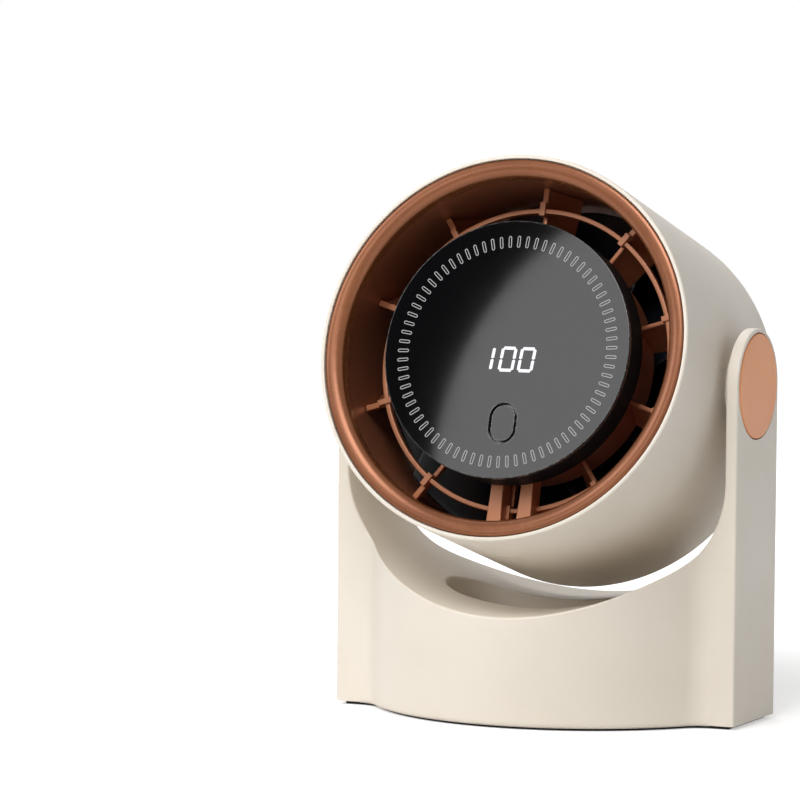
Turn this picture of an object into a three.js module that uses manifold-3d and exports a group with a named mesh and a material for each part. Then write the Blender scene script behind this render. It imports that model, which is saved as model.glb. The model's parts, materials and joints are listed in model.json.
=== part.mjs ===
// Air circulator fan: a drum-shaped head that tilts between the two arms of a U-shaped stand.
// Millimetres. +Z is up and the fan blows towards -Y. The origin is on the table, under the
// middle of the tilt axis, which runs along X.

import * as THREE from "three";
import { mergeVertices } from "three/addons/utils/BufferGeometryUtils.js";
import Module from "manifold-3d";

const wasm = await Module();
wasm.setup();

// ---------------------------------------------------------------- driving dimensions

const GAP = 0.3; // clearance between pieces that touch or are clamped together

// Stand
const STAND_WIDTH = 145;
const ARM_THICKNESS = 4.2;
const ARM_HALF_DEPTH = 19.2;
const FRONT_BULGE = 50.5; // how far the front wall reaches from the tilt axis
const REAR_BULGE = 42;
const BULGE_RADIUS = 72;
const FILLET_INSET = 2; // the hollow flank of the bulge ends this far inside the side wall
const SADDLE_CLEARANCE = 0.527; // below the drum's rear edge as it swings past
const SADDLE_RADIUS = 99.3;
const SADDLE_CORNER = 35.4;
const STAND_WALL = 2.4;
const POCKET_LENGTH = 74;
const POCKET_WIDTH = 29.5;
const POCKET_CENTRE_Y = -4.8;
const POCKET_DEPTH = 9;
const PAD_THICKNESS = 1.2;
const PAD_INSET = 2.5;
const COVER_THICKNESS = 2.4;
const BASE_BOSS_RADIUS = 4;
const BASE_BOSS_SPACING = 6.9; // from the battery holder's end
const BASE_SCREW_Y = 11;
const BASE_SCREW_SHANK = 1.4;
const BASE_SCREW_HEAD = 3;
const BASE_SCREW_HEAD_HEIGHT = 1;
const BASE_SCREW_LENGTH = 11;

// Power pieces inside the stand
const CELL_RADIUS = 9.2;
const CELL_LENGTH = 65.2;
const CELL_PITCH = 21;
const CELL_HEADROOM = 1.1;
const HOLDER_WALL = 1.6;
const STRIP_THICKNESS = 0.3;
const STRIP_HALF_HEIGHT = 3.5;
const STRIP_OVERLAP = 4; // past the axis of each cell
const BOARD_THICKNESS = 1.6;
const CHARGE_BOARD_WIDTH = 30;
const CHARGE_BOARD_DEPTH = 13;
const CHARGE_BOARD_SETBACK = 3; // from the rear wall
const BOARD_POST_RADIUS = 2;
const BOARD_POST_INSET = 4;
const SOCKET_LIFT = 5.6; // above the bottom cover
const SOCKET_SETBACK = 0.5;
const SOCKET_WALL = 0.4;
const SOCKET_TONGUE_WIDTH = 6.4;
const SOCKET_TONGUE_THICKNESS = 0.7;
const USB_WIDTH = 9;
const USB_HEIGHT = 3.2;
const USB_DEPTH = 7.6;

// Tilt joint
const DRUM_CLEARANCE = 3; // between the drum's rim and each arm
const BOSS_CLEARANCE = 1.5; // between the drum's pivot boss and each arm
const PIN_RADIUS = 4;
const COLLAR_RADIUS = 6;
const CAP_RADIUS = 17.5;
const CAP_PROUD = 0.25;
const CAP_THICKNESS = 0.6;
const CAP_SKIRT = 1.1;
const ARM_WEB = 1.6;
const SHELL_BOSS_RADIUS = 11;
const FRICTION_RADIUS = 13;
const WASHER_RADIUS = 10;
const WASHER_THICKNESS = 0.6;
const PIVOT_SCREW_RADIUS = 1.6;
const PIVOT_SCREW_HEAD = 3.6;
const PIN_END_WALL = 1.5;

// Head, measured forward from the tilt axis along the axis of the drum
const TILT = THREE.MathUtils.degToRad(15.76); // the photographed position, nose up
const RIM_FORWARD = 49.6;
const DRUM_TAPER = 0.5; // the tail is this much smaller in radius than the rim
const TAIL_FORWARD = -43;
const TAIL_FILLET = 6;
const TAIL_LAND = 3; // flat ring of the rear wall, round the grille
const SHELL_WALL = 2;
const RIM_WALL = 1.4; // round the lip's flange
const LIP_SEAT = 2; // depth of the flange's seat in the rim
const LIP_LENGTH = 6.1;
const LIP_SETBACK = 0.2;
const LIP_EDGE = 0.6; // fall from the lip's crest to its outer edge
const LIP_CREST = 1.5; // from the outer edge to the crest
const LIP_ROUND = 2.9; // fall from the crest to the inner edge
const LIP_OVERHANG = 1.7; // into the airway, from the duct's wall
const DUCT_SPACE = 1.6; // between duct and drum
const DUCT_WALL = 1.6;
const GRILLE_THICKNESS = 2.2;
const GRILLE_SCREW_INSET = 2.9;
const GRILLE_SCREW_SHANK = 1.1;
const GRILLE_SCREW_HEAD = 2.2;
const GRILLE_SCREW_HEAD_HEIGHT = 1.2;
const GRILLE_SCREW_LENGTH = 8;
const EAR_LENGTH = 6;
const EAR_HALF_WIDTH = 3;
const SLOT_WIDTH = 2.4;
const SLOT_LENGTH = 15;
const SLOT_SCREW_MARGIN = 3.6;
const SLOT_RING_BAR = 3; // plain ring between the two rings of slots
const SLOT_HUB_RADIUS = 15;
const INNER_SLOTS = 18;
const OUTER_SLOTS = 36;

// Display pod
const AIRWAY = 15.95; // between pod and duct
const POD_RECESS = 4.2; // behind the rim
const POD_LENGTH = 12;
const POD_WALL = 1.8;
const POD_FLOOR_THICKNESS = 1.6;
const LENS_THICKNESS = 1.4;
const LENS_CHAMFER = 0.35;
const DISPLAY_DEPTH = 3.3; // from the lens to the board behind it
const BOARD_CLEARANCE = 1.35;
const BOARD_POST_SPACING = 10.5; // in from the display board's edge
const DISPLAY_POST_RADIUS = 2.5;
const LIGHT_RING_INSET = 0.7;
const LIGHT_RING_WIDTH = 5.4;
const DIGITS_WIDTH = 24;
const DIGITS_HEIGHT = 12;
const DIGITS_DROP = 4; // below the middle of the pod
const PANEL_SHIFT = 1.9; // digits and button, to the right of the pod's middle
const BUTTON_WIDTH = 8.6;
const BUTTON_HEIGHT = 12.6;
const BUTTON_RING_SPACING = 3.2; // between button and light ring
const BUTTON_GROOVE = 0.8;
const BUTTON_FLANGE = 1.6;
const BUTTON_FLANGE_THICKNESS = 0.7;
const BUTTON_TRAVEL = 0.8;
const SWITCH_SIZE = 6;
const SWITCH_PLUNGER = 1.2;
const SWITCH_PLUNGER_HEIGHT = 0.5;
const POD_SCREWS = 3;
const POD_SCREW_INSET = 6; // in from the hub's outside
const POD_SCREW_SHANK = 1.2;
const POD_SCREW_HEAD = 2.4;
const POD_SCREW_HEAD_HEIGHT = 1.2;
const POD_SCREW_DEPTH = 6;
const POD_BOSS_RADIUS = 3.4;

// Guard, struts and guide vanes
const GUARD_INSET = 8.5; // middle of the guard's ring, in from the duct
const GUARD_SETBACK = 6.2; // behind the pod
const GUARD_RING_WIDTH = 1.6;
const GUARD_DEPTH = 2.4;
const RIB_COUNT = 10;
const RIB_WIDTH = 2;
const RIB_OVERHANG = 0.9; // into the ring
const RIB_REACH = 2.3; // out of the ring
const RIB_PROUD = 0.8;
const RIB_WEB = 1.2; // depth of the web from each rib to the duct
const STRUT_X = 2.95;
const STRUT_WIDTH = 4.1;
const STRUT_FLARE = 0.7;
const VANE_THICKNESS = 1.6;
const VANE_CHORD = 13.2;
const VANE_TWIST = THREE.MathUtils.degToRad(-7);
const HUB_INSET = 3.65; // in from the pod's outside
const HUB_WALL = 1.8;
const HUB_PLATE = 2;
const HUB_LEAD_HOLE = 8;

// Motor and impeller
const BLADE_COUNT = 9;
const TIP_CLEARANCE = 1.4;
const VANE_TO_BLADE = 3.5;
const BLADE_CHORD = 23;
const BLADE_THICKNESS = 1.8;
const BLADE_TWIST = THREE.MathUtils.degToRad(52);
const BLADE_SWEEP = 0.35; // radians between root and tip
const IMPELLER_INSET = 10; // in from the vanes' hub
const IMPELLER_WALL = 1.8;
const IMPELLER_SETBACK = 5.2; // behind the motor's plate
const IMPELLER_BOSS = 4.5;
const DOME_OVERLAP = 8; // of the hub's dome and the blades
const DOME_DEPTH = 14;
const SHAFT_RADIUS = 1.5;
const SHAFT_RECESS = 0.5;
const MOTOR_PLATE_INSET = 10; // in from the pod's screws
const MOTOR_PLATE_THICKNESS = 1.6;
const MOTOR_SETBACK = 3.5;
const BEARING_RADIUS = 4.7;
const BEARING_LENGTH = 3.5;
const BEARING_SETBACK = 1;
const TUBE_WALL = 1.2;
const TUBE_LENGTH = 20;
const STATOR_RADIUS = 15;
const STATOR_LENGTH = 13;
const AIR_GAP = 0.6;
const MAGNET_THICKNESS = 1.3;
const CAN_WALL = 1.2;
const CAN_END_SPACE = 3;

// ---------------------------------------------------------------- sizes that follow

const HALF_WIDTH = STAND_WIDTH / 2;
const ARM_INNER_X = HALF_WIDTH - ARM_THICKNESS;
const WEB_OUTER_X = ARM_INNER_X + ARM_WEB;
const BOSS_FACE_X = ARM_INNER_X - BOSS_CLEARANCE;

const RIM_RADIUS = ARM_INNER_X - DRUM_CLEARANCE;
const TAIL_RADIUS = RIM_RADIUS - DRUM_TAPER;
const SHELL_INNER_RADIUS = TAIL_RADIUS - SHELL_WALL;
const DUCT_OUTER_RADIUS = SHELL_INNER_RADIUS - DUCT_SPACE;
const DUCT_RADIUS = DUCT_OUTER_RADIUS - DUCT_WALL;
const INSIDE_DUCT = DUCT_RADIUS - GAP;
const LIP_INNER_RADIUS = DUCT_RADIUS - LIP_OVERHANG;
const LIP_BACK = RIM_FORWARD - LIP_LENGTH;
const SEAT_FLOOR = RIM_FORWARD - LIP_SEAT;
const GRILLE_RADIUS = TAIL_RADIUS - TAIL_FILLET - TAIL_LAND - GAP;
const GRILLE_FRONT = TAIL_FORWARD + GRILLE_THICKNESS;
const GRILLE_SCREW_CIRCLE = GRILLE_RADIUS - GRILLE_SCREW_INSET;
const OUTER_SLOT_END = GRILLE_SCREW_CIRCLE - SLOT_SCREW_MARGIN;
const OUTER_SLOT_START = OUTER_SLOT_END - SLOT_LENGTH;
const SLOT_RINGS = [
  { count: INNER_SLOTS, from: SLOT_HUB_RADIUS, to: OUTER_SLOT_START - SLOT_RING_BAR },
  { count: OUTER_SLOTS, from: OUTER_SLOT_START, to: OUTER_SLOT_END },
];
const EAR_BACK = GRILLE_FRONT + GAP;
const DUCT_BACK = EAR_BACK + 1;

const SHELL_BOTTOM = PAD_THICKNESS;
const COVER_BOTTOM = PAD_THICKNESS + GAP;
const COVER_TOP = COVER_BOTTOM + COVER_THICKNESS;
const HOLDER_BOTTOM = COVER_TOP + GAP;
const HOLDER_INSIDE_X = CELL_LENGTH / 2 + STRIP_THICKNESS + 2 * GAP;
const CELL_Z = HOLDER_BOTTOM + HOLDER_WALL + GAP + CELL_RADIUS;
const POCKET_FLOOR = CELL_Z + CELL_RADIUS + CELL_HEADROOM + STAND_WALL;
const SADDLE_Z = POCKET_FLOOR + POCKET_DEPTH;
const TAIL_REACH = TAIL_FILLET + Math.hypot(TAIL_FORWARD + TAIL_FILLET, TAIL_RADIUS - TAIL_FILLET);
const SADDLE_DROP = TAIL_REACH + SADDLE_CLEARANCE;
const PIVOT_HEIGHT = SADDLE_Z + SADDLE_DROP;
const BASE_SCREW_X = HOLDER_INSIDE_X + HOLDER_WALL + BASE_BOSS_SPACING + BASE_BOSS_RADIUS;
const SOCKET_Z = COVER_TOP + SOCKET_LIFT;
const CHARGE_BOARD_Y = REAR_BULGE - STAND_WALL - CHARGE_BOARD_SETBACK - CHARGE_BOARD_DEPTH / 2;
const CHARGE_BOARD_Z = SOCKET_Z - USB_HEIGHT / 2 - GAP - BOARD_THICKNESS;

const POD_RADIUS = DUCT_RADIUS - AIRWAY;
const POD_FRONT = RIM_FORWARD - POD_RECESS;
const POD_BACK = POD_FRONT - POD_LENGTH;
const POD_FLOOR = POD_BACK + POD_FLOOR_THICKNESS;
const LENS_BACK = POD_FRONT - LENS_THICKNESS;
const INSIDE_LENS = LENS_BACK - GAP;
const BOARD_FRONT = INSIDE_LENS - DISPLAY_DEPTH;
const BOARD_BACK = BOARD_FRONT - BOARD_THICKNESS;
const DISPLAY_BOARD_RADIUS = POD_RADIUS - POD_WALL - BOARD_CLEARANCE;
const LIGHT_RING_OUTER = DISPLAY_BOARD_RADIUS - LIGHT_RING_INSET;
const LIGHT_RING_INNER = LIGHT_RING_OUTER - LIGHT_RING_WIDTH;
const BUTTON_DROP = LIGHT_RING_INNER - BUTTON_RING_SPACING - BUTTON_HEIGHT / 2;
const FLANGE_BACK = INSIDE_LENS - BUTTON_FLANGE_THICKNESS;

const GUARD_RING_RADIUS = DUCT_RADIUS - GUARD_INSET;
const GUARD_FORWARD = POD_BACK - GUARD_SETBACK;
const GUARD_FRONT = GUARD_FORWARD + GUARD_DEPTH / 2;
const GUARD_BACK = GUARD_FORWARD - GUARD_DEPTH / 2;
const HUB_RADIUS = POD_RADIUS - HUB_INSET;
const HUB_FRONT = POD_BACK - GAP;
const PLATE_JOINT = HUB_FRONT - HUB_PLATE;
const VANE_FRONT = GUARD_BACK - GAP;
const VANE_BACK = VANE_FRONT - VANE_CHORD;
const POD_SCREW_CIRCLE = HUB_RADIUS - POD_SCREW_INSET;
const POD_SCREW_TIP = HUB_FRONT - POD_SCREW_DEPTH;

const MOTOR_PLATE_RADIUS = POD_SCREW_CIRCLE - MOTOR_PLATE_INSET;
const PLATE_FRONT = PLATE_JOINT - GAP;
const PLATE_BACK = PLATE_FRONT - MOTOR_PLATE_THICKNESS;
const TUBE_INNER = BEARING_RADIUS + GAP;
const TUBE_OUTER = TUBE_INNER + TUBE_WALL;
const TUBE_BACK = PLATE_BACK - TUBE_LENGTH;
const MOTOR_FRONT = PLATE_BACK - MOTOR_SETBACK;
const MAGNET_INNER = STATOR_RADIUS + AIR_GAP;
const CAN_INNER = MAGNET_INNER + MAGNET_THICKNESS + GAP;
const CAN_OUTER = CAN_INNER + CAN_WALL;
const CAN_BACK = TUBE_BACK - CAN_END_SPACE;
const CAN_END = CAN_BACK - CAN_WALL;
const IMPELLER_RADIUS = HUB_RADIUS - IMPELLER_INSET;
const IMPELLER_FRONT = PLATE_BACK - IMPELLER_SETBACK;
const BLADE_TIP = DUCT_RADIUS - TIP_CLEARANCE;
const BLADE_FRONT = VANE_BACK - VANE_TO_BLADE;
const BLADE_BACK = BLADE_FRONT - BLADE_CHORD;
const DOME_START = BLADE_BACK + DOME_OVERLAP;

// Sides of round pieces, by size
const DRUM_SIDES = 48;
const HUB_SIDES = 36;
const MOTOR_SIDES = 24;
const SMALL_SIDES = 16;
const SCREW_SIDES = 10;

// ---------------------------------------------------------------- geometry helpers

function toSolid(shape) {
  if (!shape.isBufferGeometry) return shape;
  const bare = shape.clone();
  bare.deleteAttribute("normal");
  bare.deleteAttribute("uv");
  const merged = mergeVertices(bare, 1e-4);
  const corners = Array.from(merged.index.array);
  const triangles = [];
  for (let i = 0; i < corners.length; i += 3) {
    const [a, b, c] = corners.slice(i, i + 3);
    if (a !== b && b !== c && c !== a) triangles.push(a, b, c);
  }
  return new wasm.Manifold(
    new wasm.Mesh({
      numProp: 3,
      vertProperties: new Float32Array(merged.attributes.position.array),
      triVerts: new Uint32Array(triangles),
    }),
  );
}

function toGeometry(solid) {
  const mesh = solid.getMesh();
  const geometry = new THREE.BufferGeometry();
  geometry.setAttribute("position", new THREE.BufferAttribute(mesh.vertProperties, 3));
  geometry.setIndex(new THREE.BufferAttribute(mesh.triVerts, 1));
  const flat = geometry.toNonIndexed();
  flat.computeVertexNormals();
  return flat;
}

function join(first, ...others) {
  return others.reduce((sum, next) => sum.add(toSolid(next)), toSolid(first));
}

function cut(first, ...others) {
  return others.reduce((rest, next) => rest.subtract(toSolid(next)), toSolid(first));
}

function arcPoints(x, y, radius, from, to, steps) {
  const points = [];
  for (let step = 0; step <= steps; step++) {
    const angle = from + ((to - from) * step) / steps;
    points.push(new THREE.Vector2(x + radius * Math.cos(angle), y + radius * Math.sin(angle)));
  }
  return points;
}

// A body of revolution round the drum's axis. The profile lists [radius, forward].
function turned(profile, segments) {
  const points = profile.map(([radius, forward]) => new THREE.Vector2(radius, -forward));
  const closed = profile[0][0] > 0;
  if (closed) points.push(points[0].clone());
  if (THREE.ShapeUtils.isClockWise(points)) points.reverse();
  return new THREE.LatheGeometry(points, segments);
}

// The same round the tilt axis, on the side +1 or -1. The profile lists [radius, x].
function turnedOnPivot(profile, segments, side) {
  const geometry = turned(profile, segments);
  geometry.rotateZ(side > 0 ? Math.PI / 2 : -Math.PI / 2);
  return geometry;
}

function ring(outer, inner, front, back, segments) {
  const profile = [[outer, front], [outer, back], [inner, back], [inner, front]];
  return turned(profile, segments);
}

function disc(radius, front, back, segments) {
  return turned([[0, front], [radius, front], [radius, back], [0, back]], segments);
}

// A prism of a shape seen from the front, between two distances forward.
function forwardPrism(shape, back, front) {
  const geometry = new THREE.ExtrudeGeometry(shape, { depth: front - back, bevelEnabled: false });
  geometry.translate(0, 0, back);
  geometry.rotateX(Math.PI / 2);
  return geometry;
}

// A prism of a shape seen from above, between two heights.
function upPrism(shape, bottom, top) {
  const geometry = new THREE.ExtrudeGeometry(shape, { depth: top - bottom, bevelEnabled: false });
  geometry.translate(0, 0, bottom);
  return geometry;
}

function block(minX, maxX, minY, maxY, minZ, maxZ) {
  const geometry = new THREE.BoxGeometry(maxX - minX, maxY - minY, maxZ - minZ);
  geometry.translate((minX + maxX) / 2, (minY + maxY) / 2, (minZ + maxZ) / 2);
  return geometry;
}

function post(radius, x, y, bottom, top, segments = SCREW_SIDES) {
  const geometry = new THREE.CylinderGeometry(radius, radius, top - bottom, segments);
  geometry.rotateX(Math.PI / 2);
  geometry.translate(x, y, (bottom + top) / 2);
  return geometry;
}

// A round post along the drum's axis, at a place seen from the front.
function forwardPost(radius, x, z, back, front, segments = SCREW_SIDES) {
  const geometry = new THREE.CylinderGeometry(radius, radius, front - back, segments);
  geometry.translate(x, -(back + front) / 2, z);
  return geometry;
}

function stadium(width, height) {
  const radius = Math.min(width, height) / 2;
  const alongX = (width - 2 * radius) / 2;
  const alongY = (height - 2 * radius) / 2;
  const quarter = Math.PI / 2;
  const points = [];
  [[1, 1], [-1, 1], [-1, -1], [1, -1]].forEach(([x, y], corner) => {
    const from = corner * quarter;
    points.push(...arcPoints(x * alongX, y * alongY, radius, from, from + quarter, 4));
  });
  return new THREE.Shape(withoutRepeats(points));
}

function withoutRepeats(points) {
  return points.filter((point, i) => {
    return point.distanceTo(points[(i + points.length - 1) % points.length]) > 1e-6;
  });
}

// ---------------------------------------------------------------- stand outlines

// One half of a bulging wall, from the middle to the side: a round front that runs into a
// hollow flank. y grows towards the bulge.
function bulgeHalf(depth, inset) {
  const centreY = depth - BULGE_RADIUS;
  const flankX = HALF_WIDTH - FILLET_INSET;
  const lift = ARM_HALF_DEPTH - centreY;
  const flank = (flankX ** 2 + lift ** 2 - BULGE_RADIUS ** 2) / (2 * (BULGE_RADIUS - lift));
  const flankY = ARM_HALF_DEPTH + flank;
  const lean = Math.atan2(flankY - centreY, flankX);
  const end = Math.asin(Math.min(FILLET_INSET - inset, 0) / (flank + inset)) - Math.PI / 2;
  const round = arcPoints(0, centreY, BULGE_RADIUS - inset, Math.PI / 2, lean, 10);
  const hollow = arcPoints(flankX, flankY, flank + inset, lean - Math.PI, end, 5).slice(1);
  const corner = new THREE.Vector2(HALF_WIDTH - inset, ARM_HALF_DEPTH - inset);
  return inset < FILLET_INSET ? [...round, ...hollow, corner] : [...round, ...hollow];
}

function standOutline(inset) {
  const front = bulgeHalf(FRONT_BULGE, inset).map((point) => new THREE.Vector2(point.x, -point.y));
  const rear = bulgeHalf(REAR_BULGE, inset);
  const right = [...front, ...rear.reverse()];
  const left = right.map((point) => new THREE.Vector2(-point.x, point.y)).reverse();
  return new THREE.Shape(withoutRepeats([...right, ...left]));
}

// The opening between the arms, seen from the front: a wide arc below, a blend on each side
// and straight arms above. Grown by `margin` it gives the underside of the saddle.
function saddleOutline(margin) {
  const halfWidth = ARM_INNER_X + margin;
  const arc = SADDLE_RADIUS + margin;
  const corner = SADDLE_CORNER + margin;
  const arcZ = SADDLE_Z + SADDLE_RADIUS;
  const cornerX = halfWidth - corner;
  const cornerZ = arcZ - Math.sqrt((arc - corner) ** 2 - cornerX ** 2);
  const lean = Math.atan2(cornerZ - arcZ, cornerX);
  const right = [
    ...arcPoints(0, arcZ, arc, -Math.PI / 2, lean, 8),
    ...arcPoints(cornerX, cornerZ, corner, lean, 0, 9).slice(1),
    new THREE.Vector2(halfWidth, PIVOT_HEIGHT + 2 * ARM_HALF_DEPTH),
  ];
  const left = right.map((point) => new THREE.Vector2(-point.x, point.y)).reverse();
  return new THREE.Shape(withoutRepeats([...right, ...left]));
}

function saddleSolid(margin) {
  return forwardPrism(saddleOutline(margin), -2 * REAR_BULGE, 2 * FRONT_BULGE);
}

function pocketSolid(margin, top) {
  const shape = stadium(POCKET_LENGTH + 2 * margin, POCKET_WIDTH + 2 * margin);
  const geometry = upPrism(shape, POCKET_FLOOR - margin, top);
  geometry.translate(0, POCKET_CENTRE_Y, 0);
  return geometry;
}

function baseScrewPlaces() {
  return [[1, -1], [1, 1], [-1, 1], [-1, -1]].map(([x, y]) => [x * BASE_SCREW_X, y * BASE_SCREW_Y]);
}

// ---------------------------------------------------------------- stand pieces

function armTopCut() {
  const top = PIVOT_HEIGHT + 2 * ARM_HALF_DEPTH;
  const radius = ARM_HALF_DEPTH + 0.1;
  const reach = 2 * ARM_HALF_DEPTH;
  const points = [
    ...arcPoints(0, PIVOT_HEIGHT, radius, 0, Math.PI, 24),
    new THREE.Vector2(-reach, PIVOT_HEIGHT),
    new THREE.Vector2(-reach, top),
    new THREE.Vector2(reach, top),
    new THREE.Vector2(reach, PIVOT_HEIGHT),
  ];
  const geometry = new THREE.ExtrudeGeometry(new THREE.Shape(points.reverse()), {
    depth: STAND_WIDTH + 2,
    bevelEnabled: false,
  });
  geometry.translate(0, 0, -HALF_WIDTH - 1);
  geometry.rotateX(Math.PI / 2);
  geometry.rotateZ(Math.PI / 2);
  return geometry;
}

function standShell() {
  const armTop = PIVOT_HEIGHT + ARM_HALF_DEPTH + 1;
  const saddle = saddleSolid(0);
  const body = cut(upPrism(standOutline(0), SHELL_BOTTOM, armTop), saddle, armTopCut());
  const inside = upPrism(standOutline(STAND_WALL), SHELL_BOTTOM - 1, PIVOT_HEIGHT);
  const bosses = baseScrewPlaces().map(([x, y]) => {
    return post(BASE_BOSS_RADIUS, x, y, COVER_TOP + GAP, PIVOT_HEIGHT);
  });
  const hollow = cut(inside, saddleSolid(STAND_WALL), pocketSolid(STAND_WALL, PIVOT_HEIGHT), ...bosses);
  const holes = baseScrewPlaces().map(([x, y]) => {
    const top = COVER_BOTTOM + BASE_SCREW_LENGTH + 1;
    return post(BASE_SCREW_SHANK + GAP, x, y, SHELL_BOTTOM, top);
  });
  const socketShape = stadium(USB_WIDTH + 2 * GAP, USB_HEIGHT + 2 * GAP);
  const socketHole = forwardPrism(socketShape, -REAR_BULGE - 2, -REAR_BULGE + 2 * STAND_WALL);
  socketHole.translate(0, 0, SOCKET_Z);
  const pivotCuts = [1, -1].flatMap((side) => [
    turnedOnPivot([[0, ARM_INNER_X - 1], [COLLAR_RADIUS + GAP, ARM_INNER_X - 1],
      [COLLAR_RADIUS + GAP, HALF_WIDTH], [0, HALF_WIDTH]], SMALL_SIDES, side),
    turnedOnPivot([[0, WEB_OUTER_X], [CAP_RADIUS + GAP, WEB_OUTER_X],
      [CAP_RADIUS + GAP, HALF_WIDTH + 1], [0, HALF_WIDTH + 1]], HUB_SIDES, side),
  ]);
  pivotCuts.forEach((geometry) => geometry.translate(0, 0, PIVOT_HEIGHT));
  return cut(body, hollow, pocketSolid(0, PIVOT_HEIGHT), ...holes, socketHole, ...pivotCuts);
}

function bottomCover() {
  const plate = upPrism(standOutline(STAND_WALL + GAP), COVER_BOTTOM, COVER_TOP);
  const boardPosts = [-1, 1].map((side) => {
    const x = side * (CHARGE_BOARD_WIDTH / 2 - BOARD_POST_INSET);
    return post(BOARD_POST_RADIUS, x, CHARGE_BOARD_Y, COVER_TOP - 1, CHARGE_BOARD_Z - GAP);
  });
  const heads = baseScrewPlaces().map(([x, y]) => {
    const top = COVER_BOTTOM + BASE_SCREW_HEAD_HEIGHT + 2 * GAP;
    return post(BASE_SCREW_HEAD + GAP, x, y, COVER_BOTTOM - 1, top);
  });
  const shanks = baseScrewPlaces().map(([x, y]) => {
    return post(BASE_SCREW_SHANK + GAP, x, y, COVER_BOTTOM, COVER_TOP + 1);
  });
  return cut(join(plate, ...boardPosts), ...heads, ...shanks);
}

function antiSlipPad() {
  return upPrism(standOutline(PAD_INSET), 0, PAD_THICKNESS);
}

function baseScrew(x, y) {
  const head = COVER_BOTTOM + GAP / 2;
  const neck = head + BASE_SCREW_HEAD_HEIGHT;
  return join(
    post(BASE_SCREW_HEAD, x, y, head, neck),
    post(BASE_SCREW_SHANK, x, y, neck - 0.1, COVER_BOTTOM + BASE_SCREW_LENGTH),
  );
}

// ---------------------------------------------------------------- power pieces

function batteryCell(y) {
  const geometry = new THREE.CylinderGeometry(CELL_RADIUS, CELL_RADIUS, CELL_LENGTH, 24);
  geometry.rotateZ(Math.PI / 2);
  geometry.translate(0, y, CELL_Z);
  return geometry;
}

function batteryHolder() {
  const insideX = HOLDER_INSIDE_X;
  const insideY = CELL_PITCH / 2 + CELL_RADIUS + GAP;
  const bottom = HOLDER_BOTTOM;
  const top = CELL_Z + CELL_RADIUS / 2;
  const outside = block(-insideX - HOLDER_WALL, insideX + HOLDER_WALL,
    -insideY - HOLDER_WALL, insideY + HOLDER_WALL, bottom, top);
  const inside = block(-insideX, insideX, -insideY, insideY, bottom + HOLDER_WALL, top + 1);
  return cut(outside, inside);
}

function batteryStrip(side) {
  const near = CELL_LENGTH / 2 + GAP;
  const far = near + STRIP_THICKNESS;
  const halfY = CELL_PITCH / 2 + STRIP_OVERLAP;
  return block(Math.min(side * near, side * far), Math.max(side * near, side * far),
    -halfY, halfY, CELL_Z - STRIP_HALF_HEIGHT, CELL_Z + STRIP_HALF_HEIGHT);
}

function chargingBoard() {
  const halfX = CHARGE_BOARD_WIDTH / 2;
  const halfY = CHARGE_BOARD_DEPTH / 2;
  return block(-halfX, halfX, CHARGE_BOARD_Y - halfY, CHARGE_BOARD_Y + halfY,
    CHARGE_BOARD_Z, CHARGE_BOARD_Z + BOARD_THICKNESS);
}

function usbSocket() {
  const mouth = -REAR_BULGE + SOCKET_SETBACK;
  const end = mouth + USB_DEPTH;
  const hollow = stadium(USB_WIDTH - 2 * SOCKET_WALL, USB_HEIGHT - 2 * SOCKET_WALL);
  const outer = forwardPrism(stadium(USB_WIDTH, USB_HEIGHT), mouth, end);
  const inner = forwardPrism(hollow, mouth - 1, end - 1);
  const halfX = SOCKET_TONGUE_WIDTH / 2;
  const halfZ = SOCKET_TONGUE_THICKNESS / 2;
  const tongue = block(-halfX, halfX, -end + SOCKET_WALL, -mouth - 1, -halfZ, halfZ);
  [outer, inner, tongue].forEach((geometry) => geometry.translate(0, 0, SOCKET_Z));
  return join(cut(outer, inner), tongue);
}

// ---------------------------------------------------------------- tilt joint pieces

function pivotCap(side) {
  const face = HALF_WIDTH + CAP_PROUD;
  const back = WEB_OUTER_X + GAP;
  return turnedOnPivot([
    [0, face - CAP_THICKNESS], [CAP_RADIUS - CAP_SKIRT, face - CAP_THICKNESS],
    [CAP_RADIUS - CAP_SKIRT, back], [CAP_RADIUS, back], [CAP_RADIUS, face], [0, face],
  ], HUB_SIDES, side);
}

function frictionWasher(side) {
  const inner = COLLAR_RADIUS + GAP;
  const from = BOSS_FACE_X + GAP;
  const to = ARM_INNER_X - GAP;
  const half = [[inner, from], [FRICTION_RADIUS, from], [FRICTION_RADIUS, to], [inner, to]];
  return turnedOnPivot(half, MOTOR_SIDES, side);
}

function trunnion(side) {
  const inner = DUCT_OUTER_RADIUS + GAP;
  const collar = BOSS_FACE_X + GAP;
  const hole = PIVOT_SCREW_RADIUS + GAP;
  return turnedOnPivot([
    [0, inner], [PIN_RADIUS, inner], [PIN_RADIUS, collar], [COLLAR_RADIUS, collar],
    [COLLAR_RADIUS, WEB_OUTER_X], [hole, WEB_OUTER_X],
    [hole, inner + PIN_END_WALL], [0, inner + PIN_END_WALL],
  ], SMALL_SIDES, side);
}

function retainingWasher(side) {
  const inner = PIVOT_SCREW_RADIUS + GAP;
  const from = WEB_OUTER_X + GAP;
  const to = from + WASHER_THICKNESS;
  const half = [[inner, from], [WASHER_RADIUS, from], [WASHER_RADIUS, to], [inner, to]];
  return turnedOnPivot(half, MOTOR_SIDES, side);
}

function pivotScrew(side) {
  const head = WEB_OUTER_X + WASHER_THICKNESS + 2 * GAP;
  const top = HALF_WIDTH + CAP_PROUD - CAP_THICKNESS - GAP;
  const tip = DUCT_OUTER_RADIUS + PIN_END_WALL + 3 * GAP;
  return turnedOnPivot([
    [0, tip], [PIVOT_SCREW_RADIUS, tip], [PIVOT_SCREW_RADIUS, head],
    [PIVOT_SCREW_HEAD, head], [PIVOT_SCREW_HEAD, top], [0, top],
  ], SCREW_SIDES, side);
}

// ---------------------------------------------------------------- head pieces

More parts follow.
